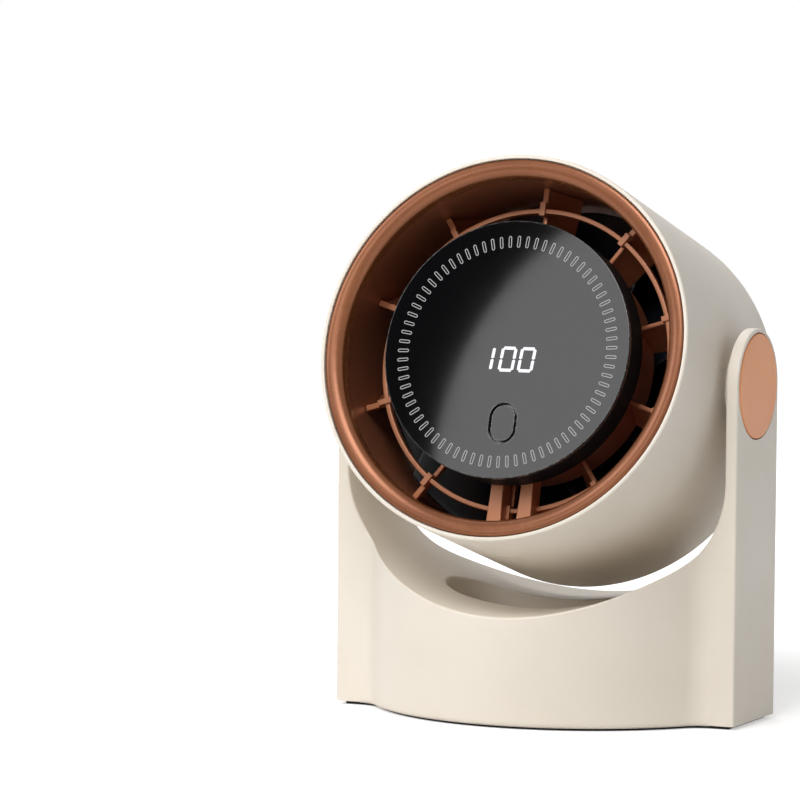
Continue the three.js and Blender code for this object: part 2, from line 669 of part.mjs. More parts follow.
function headShell() {
  const inner = SHELL_INNER_RADIUS;
  const filletX = TAIL_RADIUS - TAIL_FILLET;
  const fillet = arcPoints(filletX, -TAIL_FORWARD - TAIL_FILLET, TAIL_FILLET, 0, Math.PI / 2, 4)
    .map((point) => [point.x, -point.y]);
  const innerFillet = arcPoints(TAIL_RADIUS - TAIL_FILLET, -TAIL_FORWARD - TAIL_FILLET,
    TAIL_FILLET - SHELL_WALL, Math.PI / 2, 0, 3).map((point) => [point.x, -point.y]);
  const opening = GRILLE_RADIUS + GAP;
  const drum = turned([
    [RIM_RADIUS, RIM_FORWARD], ...fillet, [opening, TAIL_FORWARD],
    [opening, TAIL_FORWARD + SHELL_WALL], ...innerFillet,
    [RIM_RADIUS - SHELL_WALL, SEAT_FLOOR], [RIM_RADIUS - RIM_WALL, SEAT_FLOOR],
    [RIM_RADIUS - RIM_WALL, RIM_FORWARD],
  ], DRUM_SIDES);
  const bosses = [1, -1].map((side) => {
    const from = inner + SHELL_WALL / 4;
    return turnedOnPivot([[0, from], [SHELL_BOSS_RADIUS, from],
      [SHELL_BOSS_RADIUS, BOSS_FACE_X], [0, BOSS_FACE_X]], MOTOR_SIDES, side);
  });
  const bores = [1, -1].map((side) => {
    const radius = PIN_RADIUS + GAP;
    const half = [[0, inner - 5], [radius, inner - 5], [radius, HALF_WIDTH], [0, HALF_WIDTH]];
    return turnedOnPivot(half, SMALL_SIDES, side);
  });
  return cut(join(drum, ...bosses), ...bores);
}

function frontLip() {
  const outer = RIM_RADIUS - SHELL_WALL - GAP;
  const flange = RIM_RADIUS - RIM_WALL - GAP;
  const flangeBack = SEAT_FLOOR + GAP;
  const top = RIM_FORWARD - LIP_SETBACK;
  const crest = flange - LIP_CREST;
  const quarter = (from, to, reach, fall, steps) => Array.from({ length: steps + 1 }, (_, i) => {
    const angle = from + ((to - from) * i) / steps;
    return [crest + reach * Math.cos(angle), top - fall * (1 - Math.sin(angle))];
  });
  return turned([
    [outer, LIP_BACK], [outer, flangeBack], [flange, flangeBack],
    ...quarter(0, Math.PI / 2, LIP_CREST, LIP_EDGE, 2),
    ...quarter(Math.PI / 2, Math.PI, crest - LIP_INNER_RADIUS, LIP_ROUND, 4).slice(1),
    [LIP_INNER_RADIUS, LIP_BACK],
  ], DRUM_SIDES);
}

function grilleScrewPlaces() {
  return [45, 135, 225, 315].map((degrees) => {
    const angle = THREE.MathUtils.degToRad(degrees);
    return [GRILLE_SCREW_CIRCLE * Math.cos(angle), GRILLE_SCREW_CIRCLE * Math.sin(angle), angle];
  });
}

function duct() {
  const tube = ring(DUCT_OUTER_RADIUS, DUCT_RADIUS, LIP_BACK - GAP, DUCT_BACK, DRUM_SIDES);
  const ears = grilleScrewPlaces().map(([, , angle]) => {
    const from = GRILLE_SCREW_CIRCLE - EAR_HALF_WIDTH;
    const to = DUCT_RADIUS + DUCT_WALL / 4;
    const ear = block(from, to, -EAR_BACK - EAR_LENGTH, -EAR_BACK, -EAR_HALF_WIDTH, EAR_HALF_WIDTH);
    ear.rotateY(-angle);
    return ear;
  });
  const holes = grilleScrewPlaces().map(([x, z]) => {
    const end = TAIL_FORWARD + GRILLE_SCREW_LENGTH + GAP;
    return forwardPost(GRILLE_SCREW_SHANK + GAP, x, z, EAR_BACK - 1, end);
  });
  return cut(join(tube, ...ears), ...holes);
}

function rearGrille() {
  const plate = disc(GRILLE_RADIUS, GRILLE_FRONT, TAIL_FORWARD, DRUM_SIDES);
  const half = SLOT_WIDTH / 2;
  const slots = SLOT_RINGS.flatMap(({ count, from, to }) => {
    return Array.from({ length: count }, (_, i) => {
      const slot = block(from, to, -GRILLE_FRONT - 1, -TAIL_FORWARD + 1, -half, half);
      slot.rotateY((2 * Math.PI * i) / count);
      return slot;
    });
  });
  const seats = grilleScrewPlaces().map(([x, z]) => {
    const floor = TAIL_FORWARD + GRILLE_SCREW_HEAD_HEIGHT + GAP;
    return forwardPost(GRILLE_SCREW_HEAD + GAP, x, z, TAIL_FORWARD - 1, floor);
  });
  const holes = grilleScrewPlaces().map(([x, z]) => {
    return forwardPost(GRILLE_SCREW_SHANK + GAP, x, z, TAIL_FORWARD, GRILLE_FRONT + 1);
  });
  return cut(plate, ...slots, ...seats, ...holes);
}

function grilleScrew(x, z) {
  const neck = TAIL_FORWARD + GRILLE_SCREW_HEAD_HEIGHT;
  return join(
    forwardPost(GRILLE_SCREW_HEAD, x, z, TAIL_FORWARD, neck),
    forwardPost(GRILLE_SCREW_SHANK, x, z, neck - 0.1, TAIL_FORWARD + GRILLE_SCREW_LENGTH),
  );
}

function frontGuard() {
  const half = GUARD_RING_WIDTH / 2;
  const [outer, inner] = [GUARD_RING_RADIUS + half, GUARD_RING_RADIUS - half];
  const hoop = ring(outer, inner, GUARD_FRONT, GUARD_BACK, DRUM_SIDES);
  const ribs = Array.from({ length: RIB_COUNT }, (_, i) => {
    const [low, high] = [-RIB_WIDTH / 2, RIB_WIDTH / 2];
    const front = -GUARD_FRONT - RIB_PROUD;
    const stub = block(inner - RIB_OVERHANG, outer + RIB_REACH, front, -GUARD_BACK, low, high);
    const web = block(outer, INSIDE_DUCT, -GUARD_BACK - RIB_WEB, -GUARD_BACK, low, high);
    const rib = toGeometry(join(stub, web));
    rib.rotateY(-ribAngle(i));
    return rib;
  });
  const struts = [1, -1].map((side) => {
    const top = -HUB_RADIUS - GAP;
    const bottom = -Math.sqrt(INSIDE_DUCT ** 2 - (STRUT_X + STRUT_WIDTH / 2 + STRUT_FLARE) ** 2);
    const shape = new THREE.Shape([
      new THREE.Vector2(side * STRUT_X - STRUT_WIDTH / 2, top),
      new THREE.Vector2(side * STRUT_X - STRUT_WIDTH / 2 - STRUT_FLARE, bottom),
      new THREE.Vector2(side * STRUT_X + STRUT_WIDTH / 2 + STRUT_FLARE, bottom),
      new THREE.Vector2(side * STRUT_X + STRUT_WIDTH / 2, top),
    ]);
    return forwardPrism(shape, GUARD_BACK, POD_BACK - GAP);
  });
  return join(hoop, ...ribs, ...struts);
}

function ribAngle(i) {
  return Math.PI / 2 + (2 * Math.PI * i) / RIB_COUNT;
}

// A thin blade between two radii. `turn(radius, way)` gives its angle, way running from 0 at
// its front edge to 1 at its back edge.
function bladeGeometry({ root, tip, front, back, turn, thickness, rows, steps }) {
  const positions = [];
  const index = [];
  const side = (rows + 1) * (steps + 1);
  for (const face of [1, -1]) {
    for (let row = 0; row <= rows; row++) {
      const radius = root + ((tip - root) * row) / rows;
      for (let step = 0; step <= steps; step++) {
        const way = step / steps;
        const angle = turn(radius, way) + (face * thickness) / 2 / radius;
        const forward = front + (back - front) * way;
        positions.push(radius * Math.cos(angle), -forward, radius * Math.sin(angle));
      }
    }
  }
  const at = (face, row, step) => face * side + row * (steps + 1) + step;
  const quad = (a, b, c, d) => index.push(a, c, b, a, d, c);
  for (let row = 0; row < rows; row++) {
    for (let step = 0; step < steps; step++) {
      quad(at(0, row, step), at(0, row, step + 1), at(0, row + 1, step + 1), at(0, row + 1, step));
      quad(at(1, row, step), at(1, row + 1, step), at(1, row + 1, step + 1), at(1, row, step + 1));
    }
    quad(at(0, row, 0), at(0, row + 1, 0), at(1, row + 1, 0), at(1, row, 0));
    quad(at(0, row + 1, steps), at(0, row, steps), at(1, row, steps), at(1, row + 1, steps));
  }
  for (let step = 0; step < steps; step++) {
    quad(at(0, 0, step + 1), at(0, 0, step), at(1, 0, step), at(1, 0, step + 1));
    quad(at(0, rows, step), at(0, rows, step + 1), at(1, rows, step + 1), at(1, rows, step));
  }
  const geometry = new THREE.BufferGeometry();
  geometry.setAttribute("position", new THREE.Float32BufferAttribute(positions, 3));
  geometry.setIndex(index);
  return geometry;
}

function podScrewPlaces() {
  return Array.from({ length: POD_SCREWS }, (_, i) => {
    const angle = Math.PI / 2 + (2 * Math.PI * i) / POD_SCREWS;
    return [POD_SCREW_CIRCLE * Math.cos(angle), POD_SCREW_CIRCLE * Math.sin(angle)];
  });
}

function guideVanes() {
  const hub = turned([
    [HUB_LEAD_HOLE, HUB_FRONT], [HUB_RADIUS, HUB_FRONT], [HUB_RADIUS, VANE_BACK],
    [HUB_RADIUS - HUB_WALL, VANE_BACK], [HUB_RADIUS - HUB_WALL, PLATE_JOINT], [HUB_LEAD_HOLE, PLATE_JOINT],
  ], HUB_SIDES);
  const vanes = Array.from({ length: RIB_COUNT }, (_, i) => bladeGeometry({
    root: HUB_RADIUS - HUB_WALL / 2,
    tip: INSIDE_DUCT,
    front: VANE_FRONT,
    back: VANE_BACK + GAP,
    turn: (radius, way) => ribAngle(i) + VANE_TWIST * way ** 1.5,
    thickness: VANE_THICKNESS,
    rows: 2,
    steps: 4,
  }));
  const bosses = podScrewPlaces().map(([x, z]) => {
    return forwardPost(POD_BOSS_RADIUS, x, z, POD_SCREW_TIP - 1, HUB_FRONT - 1);
  });
  const holes = podScrewPlaces().map(([x, z]) => {
    return forwardPost(POD_SCREW_SHANK + GAP, x, z, POD_SCREW_TIP - GAP, HUB_FRONT + 1);
  });
  return cut(join(hub, ...vanes, ...bosses), ...holes);
}

// ---------------------------------------------------------------- display pod

function displayHousing() {
  const inner = POD_RADIUS - POD_WALL;
  const cup = turned([
    [0, POD_BACK], [POD_RADIUS, POD_BACK], [POD_RADIUS, INSIDE_LENS],
    [inner, INSIDE_LENS], [inner, POD_FLOOR], [0, POD_FLOOR],
  ], DRUM_SIDES);
  const posts = [30, 150, 270].map((degrees) => {
    const angle = THREE.MathUtils.degToRad(degrees);
    const circle = DISPLAY_BOARD_RADIUS - BOARD_POST_SPACING;
    const [x, z] = [circle * Math.cos(angle), circle * Math.sin(angle)];
    return forwardPost(DISPLAY_POST_RADIUS, x, z, POD_FLOOR - 1, BOARD_BACK - GAP);
  });
  const holes = podScrewPlaces().map(([x, z]) => {
    return forwardPost(POD_SCREW_SHANK + GAP, x, z, POD_BACK - 1, POD_FLOOR + 1);
  });
  return cut(join(cup, ...posts), ...holes);
}

function displayLens() {
  const face = turned([
    [0, LENS_BACK], [POD_RADIUS, LENS_BACK], [POD_RADIUS, POD_FRONT - LENS_CHAMFER],
    [POD_RADIUS - LENS_CHAMFER, POD_FRONT], [0, POD_FRONT],
  ], DRUM_SIDES);
  const shape = stadium(BUTTON_WIDTH + 2 * BUTTON_GROOVE, BUTTON_HEIGHT + 2 * BUTTON_GROOVE);
  const hole = forwardPrism(shape, LENS_BACK - 1, POD_FRONT + 1);
  hole.translate(PANEL_SHIFT, 0, -BUTTON_DROP);
  return cut(face, hole);
}

function displayBoard() {
  return disc(DISPLAY_BOARD_RADIUS, BOARD_FRONT, BOARD_BACK, HUB_SIDES);
}

function lightRing() {
  return ring(LIGHT_RING_OUTER, LIGHT_RING_INNER, INSIDE_LENS, BOARD_FRONT + GAP, HUB_SIDES);
}

function digitModule() {
  const half = DIGITS_WIDTH / 2;
  return block(PANEL_SHIFT - half, PANEL_SHIFT + half, -INSIDE_LENS, -BOARD_FRONT - GAP,
    -DIGITS_DROP - DIGITS_HEIGHT / 2, -DIGITS_DROP + DIGITS_HEIGHT / 2);
}

function powerButton() {
  const head = forwardPrism(stadium(BUTTON_WIDTH, BUTTON_HEIGHT), FLANGE_BACK, POD_FRONT);
  const flangeShape = stadium(BUTTON_WIDTH + 2 * BUTTON_FLANGE, BUTTON_HEIGHT + 2 * BUTTON_FLANGE);
  const flange = forwardPrism(flangeShape, FLANGE_BACK, INSIDE_LENS);
  [head, flange].forEach((geometry) => geometry.translate(PANEL_SHIFT, 0, -BUTTON_DROP));
  return join(head, flange);
}

function buttonSwitch() {
  const half = SWITCH_SIZE / 2;
  const top = FLANGE_BACK - BUTTON_TRAVEL - GAP;
  const bottom = BOARD_FRONT + GAP;
  const shoulder = top - SWITCH_PLUNGER_HEIGHT;
  const [x, z] = [PANEL_SHIFT, -BUTTON_DROP];
  const body = block(x - half, x + half, -shoulder, -bottom, z - half, z + half);
  return join(body, forwardPost(SWITCH_PLUNGER, x, z, (bottom + shoulder) / 2, top));
}

function podScrew(x, z) {
  const head = POD_FLOOR + GAP;
  return join(
    forwardPost(POD_SCREW_HEAD, x, z, head, head + POD_SCREW_HEAD_HEIGHT),
    forwardPost(POD_SCREW_SHANK, x, z, POD_SCREW_TIP, head + 0.1),
  );
}

// ---------------------------------------------------------------- motor and impeller

function motorBase() {
  return turned([
    [TUBE_INNER, PLATE_FRONT], [MOTOR_PLATE_RADIUS, PLATE_FRONT], [MOTOR_PLATE_RADIUS, PLATE_BACK],
    [TUBE_OUTER, PLATE_BACK], [TUBE_OUTER, TUBE_BACK], [TUBE_INNER, TUBE_BACK],
  ], MOTOR_SIDES);
}

function motorStator() {
  return ring(STATOR_RADIUS, TUBE_OUTER + GAP, MOTOR_FRONT, MOTOR_FRONT - STATOR_LENGTH, MOTOR_SIDES);
}

function bearing(front) {
  return ring(BEARING_RADIUS, SHAFT_RADIUS + GAP, front, front - BEARING_LENGTH, SMALL_SIDES);
}

function magnetRing() {
  const outer = MAGNET_INNER + MAGNET_THICKNESS;
  return ring(outer, MAGNET_INNER, MOTOR_FRONT, MOTOR_FRONT - STATOR_LENGTH, MOTOR_SIDES);
}

function rotorCan() {
  const bore = SHAFT_RADIUS + GAP;
  return turned([
    [CAN_INNER, MOTOR_FRONT], [CAN_OUTER, MOTOR_FRONT], [CAN_OUTER, CAN_END],
    [bore, CAN_END], [bore, CAN_BACK], [CAN_INNER, CAN_BACK],
  ], MOTOR_SIDES);
}

function motorShaft() {
  const end = DOME_START - DOME_DEPTH + SHAFT_RECESS;
  return disc(SHAFT_RADIUS, PLATE_FRONT - BEARING_SETBACK, end, SCREW_SIDES);
}

function impeller() {
  const bore = SHAFT_RADIUS + GAP;
  const inner = IMPELLER_RADIUS - IMPELLER_WALL;
  const dome = (radius, depth, from, to) => Array.from({ length: 5 }, (_, i) => {
    const angle = from + ((to - from) * i) / 4;
    return [Math.max(radius * Math.cos(angle), bore), DOME_START - depth * Math.sin(angle)];
  });
  const bossEnd = CAN_END - GAP;
  const hub = turned([
    [inner, IMPELLER_FRONT], [IMPELLER_RADIUS, IMPELLER_FRONT],
    ...dome(IMPELLER_RADIUS, DOME_DEPTH, 0, Math.PI / 2),
    [bore, bossEnd], [IMPELLER_BOSS, bossEnd],
    ...dome(inner, DOME_DEPTH - IMPELLER_WALL, Math.acos(IMPELLER_BOSS / inner), 0),
  ], HUB_SIDES);
  const blades = Array.from({ length: BLADE_COUNT }, (_, i) => bladeGeometry({
    root: IMPELLER_RADIUS - IMPELLER_WALL / 2,
    tip: BLADE_TIP,
    front: BLADE_FRONT,
    back: BLADE_BACK,
    turn: (radius, way) => {
      const sweep = (BLADE_SWEEP * (radius - IMPELLER_RADIUS)) / (BLADE_TIP - IMPELLER_RADIUS);
      return (2 * Math.PI * i) / BLADE_COUNT + BLADE_TWIST * way + sweep;
    },
    thickness: BLADE_THICKNESS,
    rows: 3,
    steps: 5,
  }));
  return join(hub, ...blades);
}

// ---------------------------------------------------------------- assembly

function material(color, roughness, metalness = 0) {
  return new THREE.MeshStandardMaterial({ color, roughness, metalness });
}

const cream = material("#efe8da", 0.5);
const copper = material("#b98563", 0.38, 0.35);
const darkCopper = material("#6d452f", 0.45, 0.3);
const blackPlastic = material("#141416", 0.45);
const blackGlass = material("#101012", 0.08);
const rubber = material("#26262a", 0.9);
const steel = material("#a9abae", 0.3, 1);
const nickel = material("#c9c6bd", 0.35, 1);
const boardGreen = material("#1d5c3a", 0.6);
const windings = material("#8a4b22", 0.4, 0.8);
const cellWrap = material("#2f7fae", 0.5);
const diffuser = material("#e8e8e8", 0.6);
const magnet = material("#3a3a3e", 0.6, 0.3);

const fan = new THREE.Group();
const head = new THREE.Group();
head.position.z = PIVOT_HEIGHT;
head.rotation.x = -TILT;
const pivot = new THREE.Group();
pivot.position.z = PIVOT_HEIGHT;
fan.add(head, pivot);

function add(group, name, shape, look) {
  const mesh = new THREE.Mesh(shape.isBufferGeometry ? shape : toGeometry(shape), look);
  mesh.name = name;
  group.add(mesh);
}

add(fan, "stand_shell", standShell(), cream);
add(fan, "bottom_cover", bottomCover(), cream);
add(fan, "anti_slip_pad", antiSlipPad(), rubber);
baseScrewPlaces().forEach(([x, y], i) => add(fan, `base_screw_${i + 1}`, baseScrew(x, y), steel));
add(fan, "battery_holder", batteryHolder(), blackPlastic);
add(fan, "battery_cell_front", batteryCell(-CELL_PITCH / 2), cellWrap);
add(fan, "battery_cell_rear", batteryCell(CELL_PITCH / 2), cellWrap);
add(fan, "charging_board", chargingBoard(), boardGreen);
add(fan, "usb_c_socket", usbSocket(), nickel);

for (const [word, side] of [["right", 1], ["left", -1]]) {
  add(fan, `battery_strip_${word}`, batteryStrip(side), nickel);
  add(pivot, `${word}_pivot_cap`, pivotCap(side), copper);
  add(pivot, `${word}_friction_washer`, frictionWasher(side), rubber);
  add(head, `${word}_trunnion`, trunnion(side), steel);
  add(head, `${word}_retaining_washer`, retainingWasher(side), steel);
  add(head, `${word}_pivot_screw`, pivotScrew(side), steel);
}

add(head, "head_shell", headShell(), cream);
add(head, "front_lip", frontLip(), copper);
add(head, "air_duct", duct(), darkCopper);
add(head, "front_guard", frontGuard(), copper);
add(head, "guide_vanes", guideVanes(), darkCopper);
add(head, "rear_grille", rearGrille(), cream);
grilleScrewPlaces().forEach(([x, z], i) => add(head, `grille_screw_${i + 1}`, grilleScrew(x, z), steel));

add(head, "display_housing", displayHousing(), blackPlastic);
add(head, "display_lens", displayLens(), blackGlass);
add(head, "display_board", displayBoard(), boardGreen);
add(head, "tick_light_ring", lightRing(), diffuser);
add(head, "digit_module", digitModule(), blackPlastic);
add(head, "power_button", powerButton(), blackGlass);
add(head, "button_switch", buttonSwitch(), blackPlastic);
podScrewPlaces().forEach(([x, z], i) => add(head, `pod_screw_${i + 1}`, podScrew(x, z), steel));

add(head, "motor_base", motorBase(), steel);
add(head, "motor_stator", motorStator(), windings);
add(head, "front_bearing", bearing(PLATE_BACK - BEARING_SETBACK), steel);
add(head, "rear_bearing", bearing(TUBE_BACK + BEARING_LENGTH + BEARING_SETBACK), steel);
add(head, "motor_shaft", motorShaft(), steel);
add(head, "magnet_ring", magnetRing(), magnet);
add(head, "rotor_can", rotorCan(), steel);
add(head, "impeller", impeller(), blackPlastic);

export default fan;
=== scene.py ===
"""The looks of a desk air circulator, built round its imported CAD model.

Lengths are in metres in the CAD frame: X along the tilt axis, -Y the way the fan blows when
level, Z up. Pieces of the drum are modelled level, with the tilt axis at the origin, and then
turned to the drum's place.
"""

import json
import math

import bmesh
import bpy
from bpy.props import FloatProperty, FloatVectorProperty, IntProperty, PointerProperty
from mathutils import Matrix, Vector


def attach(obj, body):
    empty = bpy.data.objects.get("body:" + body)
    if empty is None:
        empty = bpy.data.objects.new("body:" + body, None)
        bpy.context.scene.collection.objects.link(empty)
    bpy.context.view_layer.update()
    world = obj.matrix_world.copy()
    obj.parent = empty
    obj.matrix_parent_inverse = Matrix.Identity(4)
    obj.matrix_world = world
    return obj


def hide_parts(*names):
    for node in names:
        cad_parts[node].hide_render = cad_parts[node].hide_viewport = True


bl_info = {
    "name": "Air circulator fan",
    "version": (1, 0, 0),
    "blender": (4, 5, 0),
    "location": "3D View > Sidebar > Fan",
    "description": "Builds the visible pieces of a desk air circulator on its CAD model",
    "category": "Add Mesh",
}

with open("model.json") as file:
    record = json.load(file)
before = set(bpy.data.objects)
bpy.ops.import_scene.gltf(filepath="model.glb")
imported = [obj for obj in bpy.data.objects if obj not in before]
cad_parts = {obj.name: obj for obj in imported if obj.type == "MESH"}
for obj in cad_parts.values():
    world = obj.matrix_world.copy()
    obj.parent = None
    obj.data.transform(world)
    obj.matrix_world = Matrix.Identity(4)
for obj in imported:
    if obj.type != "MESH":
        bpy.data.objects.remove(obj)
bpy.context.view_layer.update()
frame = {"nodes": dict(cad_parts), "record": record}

FULL_TURN = math.tau
SMOOTH_ANGLE = math.radians(34)
FINISH_PREFIX = "fan_"
# Roundings of edges, from moulded plastic down to thin metal.
SOFT_EDGE = 0.0004
PLAIN_EDGE = 0.0003
FINE_EDGE = 0.00025
THIN_EDGE = 0.00012
SCREW_PLAY = 0.0003
PAST = 0.001  # how far a cutting shape reaches past what it cuts


# ---------------------------------------------------------------- sizes and colours


def length(name, description, default):
    """A length in metres."""
    return FloatProperty(
        name=name, description=description, default=default, precision=5, unit="LENGTH", subtype="DISTANCE"
    )


def angle(name, description, degrees):
    """An angle, written in degrees."""
    return FloatProperty(name=name, description=description, default=math.radians(degrees), subtype="ANGLE")


def count(name, description, default):
    """A whole number of like features."""
    return IntProperty(name=name, description=description, default=default, min=1)


def shade(value):
    """A screen colour such as "efe8da" as linear red, green and blue."""
    parts = [int(value[at : at + 2], 16) / 255 for at in (0, 2, 4)]
    return tuple(part / 12.92 if part <= 0.04045 else ((part + 0.055) / 1.055) ** 2.4 for part in parts)


def colour(name, description, value):
    """A colour, written as on a screen."""
    return FloatVectorProperty(
        name=name, description=description, default=shade(value), min=0.0, max=1.0, size=3, subtype="COLOR"
    )


class StandSizes(bpy.types.PropertyGroup):
    """Sizes of the U-shaped stand."""

    width: length("Width", "Across both arms", 0.145)
    arm_thickness: length("Arm thickness", "Wall of each arm", 0.0042)
    arm_half_depth: length("Arm half depth", "Half of an arm, front to back", 0.0192)
    pivot_height: length("Pivot height", "Tilt axis above the table", 0.113)
    front_bulge: length("Front bulge", "Front wall from the tilt axis", 0.0505)
    rear_bulge: length("Rear bulge", "Rear wall from the tilt axis", 0.042)
    bulge_radius: length("Bulge radius", "Curve of the front and rear walls, seen from above", 0.072)
    flank_inset: length("Flank inset", "Flat strip beside each hollow flank", 0.0085)
    wall: length("Wall", "Thickness of the stand's walls", 0.0024)
    base_height: length("Base height", "Lower edge of the housing above the table", 0.0012)
    saddle_height: length("Saddle height", "Lowest point of the saddle", 0.037)
    saddle_radius: length("Saddle radius", "Wide arc under the drum", 0.0993)
    saddle_corner: length("Saddle corner", "Blend from the saddle to each arm", 0.0354)
    pocket_length: length("Pocket length", "Recess in the saddle, left to right", 0.0734)
    pocket_width: length("Pocket width", "Recess in the saddle, front to back", 0.0295)
    pocket_centre: length("Pocket centre", "Middle of the recess, behind the tilt axis", -0.0048)
    pocket_floor: length("Pocket floor", "Height of the recess's floor", 0.028)
    pocket_round: length("Pocket round", "Rounding round the recess's floor", 0.002)
    edge: length("Edge", "Rounding of the housing's edges", 0.0008)
    cap_radius: length("Cap radius", "Copper disc over each pivot", 0.0175)
    cap_proud: length("Cap proud", "How far each disc stands out of the arm", 0.00025)
    cap_gap: length("Cap gap", "Clearance round each disc", 0.0003)
    cap_seat: length("Cap seat", "Bottom of the disc's recess, from the middle of the fan", 0.0699)
    cap_thickness: length("Cap thickness", "Face of each disc, and the rounding of its rim", 0.0006)
    cap_skirt: length("Cap skirt", "Turned-in rim of each disc", 0.0011)
    collar_radius: length("Collar radius", "Hole for the pivot's collar", 0.0063)
    pad_inset: length("Pad inset", "Rubber pad from the housing's edge", 0.0025)
    socket_height: length("Socket height", "Charging socket above the table", 0.0095)
    socket_width: length("Socket width", "Charging socket, left to right", 0.009)
    socket_tall: length("Socket opening", "Charging socket, bottom to top", 0.0032)
    socket_depth: length("Socket depth", "Length of the socket's shell", 0.0076)
    socket_wall: length("Socket wall", "Thickness of the socket's shell", 0.0004)
    socket_play: length("Socket play", "Clearance round the socket's shell", 0.0003)
    slot_depth: length("Slot depth", "From the rear wall to the inner end of the socket's slot", 0.006)
    tongue_width: length("Tongue width", "Tongue in the socket, left to right", 0.0064)
    tongue_thickness: length("Tongue thickness", "Tongue in the socket", 0.0007)
    contacts: count("Contacts", "Contacts on each side of the tongue", 12)
    contact_pitch: length("Contact pitch", "From one contact to the next", 0.0005)


class DrumSizes(bpy.types.PropertyGroup):
    """Sizes of the drum and what lines it, measured from the tilt axis."""

    tilt: angle("Tilt", "Nose up from level, as built", 15.76)
    rim_radius: length("Rim radius", "Outside of the drum at its mouth", 0.0653)
    rim_forward: length("Rim forward", "Plane of the mouth", 0.0496)
    tail_radius: length("Tail radius", "Outside of the drum at the back", 0.0648)
    tail_back: length("Tail back", "Plane of the rear wall", 0.043)
    tail_round: length("Tail round", "Rounding of the rear edge", 0.0062)
    wall: length("Wall", "Thickness of the drum", 0.002)
    lip_outer: length("Lip outer radius", "Copper lip inside the rim", 0.063)
    lip_inner: length("Lip inner radius", "Mouth of the airway", 0.0579)
    rim_wall: length("Rim wall", "Thickness of the rim round the lip", 0.0014)
    lip_seat: length("Lip seat", "Depth of the lip's seat in the rim", 0.002)
    lip_crown: length("Lip crown", "Foremost line of the lip", 0.0494)
    lip_edge: length("Lip edge", "Fall from the crest to the lip's outer edge", 0.0006)
    lip_crest: length("Lip crest", "From the lip's outer edge to its crest", 0.0015)
    lip_round: length("Lip round", "Fall from the crest to the lip's inner edge", 0.0029)
    lip_back: length("Lip back", "Rear edge of the lip", 0.0435)
    duct_radius: length("Duct radius", "Inside of the duct", 0.0596)
    duct_wall: length("Duct wall", "Thickness of the duct", 0.0016)
    duct_back: length("Duct back", "Rear edge of the duct", 0.0395)
    boss_radius: length("Boss radius", "Raised disc round each pivot", 0.011)
    boss_face: length("Boss face", "Outer face of each raised disc", 0.0668)
    bore_radius: length("Bore radius", "Hole for each pivot pin", 0.0043)
    mark_forward: length("Mark forward", "Moulded line under the drum", 0.0222)
    mark_length: length("Mark length", "Moulded line under the drum", 0.0095)
    rim_edge: length("Rim edge", "Rounding of the rim's outer edge", 0.0008)
    rim_inner_edge: length("Rim inner edge", "Rounding of the rim beside the lip", 0.0003)
    opening_edge: length("Opening edge", "Rounding of the opening for the rear grille", 0.0005)
    boss_root: length("Boss root", "Where each boss begins, from the drum's inner face", 0.0005)
    boss_chamfer: length("Boss chamfer", "Bevel of each boss", 0.0004)
    mark_width: length("Mark width", "Moulded line under the drum", 0.0008)
    mark_depth: length("Mark depth", "Moulded line under the drum", 0.0006)
    lip_gap: length("Lip gap", "Clearance round the lip and behind it", 0.0003)
    ear_half: length("Ear half width", "Ears of the duct that take the grille's screws", 0.003)
    ear_front: length("Ear front", "Front of the ears, behind the tilt axis", 0.0345)
    ear_back: length("Ear back", "Back of the ears, behind the tilt axis", 0.0405)
    grille_gap: length("Grille gap", "Clearance round the rear grille", 0.0003)
    grille_radius: length("Grille radius", "Slotted plate at the back", 0.0555)
    grille_thickness: length("Grille thickness", "Slotted plate at the back", 0.0022)
    slot_width: length("Slot width", "Each slot of the rear grille", 0.0024)
    inner_slots: count("Inner slots", "Slots in the grille's inner ring", 18)
    inner_slot_from: length("Inner slots from", "Start of the inner ring of slots", 0.015)
    inner_slot_to: length("Inner slots to", "End of the inner ring of slots", 0.031)
    outer_slots: count("Outer slots", "Slots in the grille's outer ring", 36)
    outer_slot_from: length("Outer slots from", "Start of the outer ring of slots", 0.034)
    outer_slot_to: length("Outer slots to", "End of the outer ring of slots", 0.049)
    screw_circle: length("Screw circle", "Places of the grille's four screws", 0.0526)
    screw_head: length("Screw head", "Radius of a screw's head", 0.0022)
    screw_shank: length("Screw shank", "Radius of a screw's thread", 0.0011)
    screw_rise: length("Screw head height", "Height of a screw's head", 0.0012)
    screw_length: length("Screw length", "From the rear wall to a screw's tip", 0.008)
    cross_half: length("Cross half width", "Half of each slot in a screw's head", 0.0013)


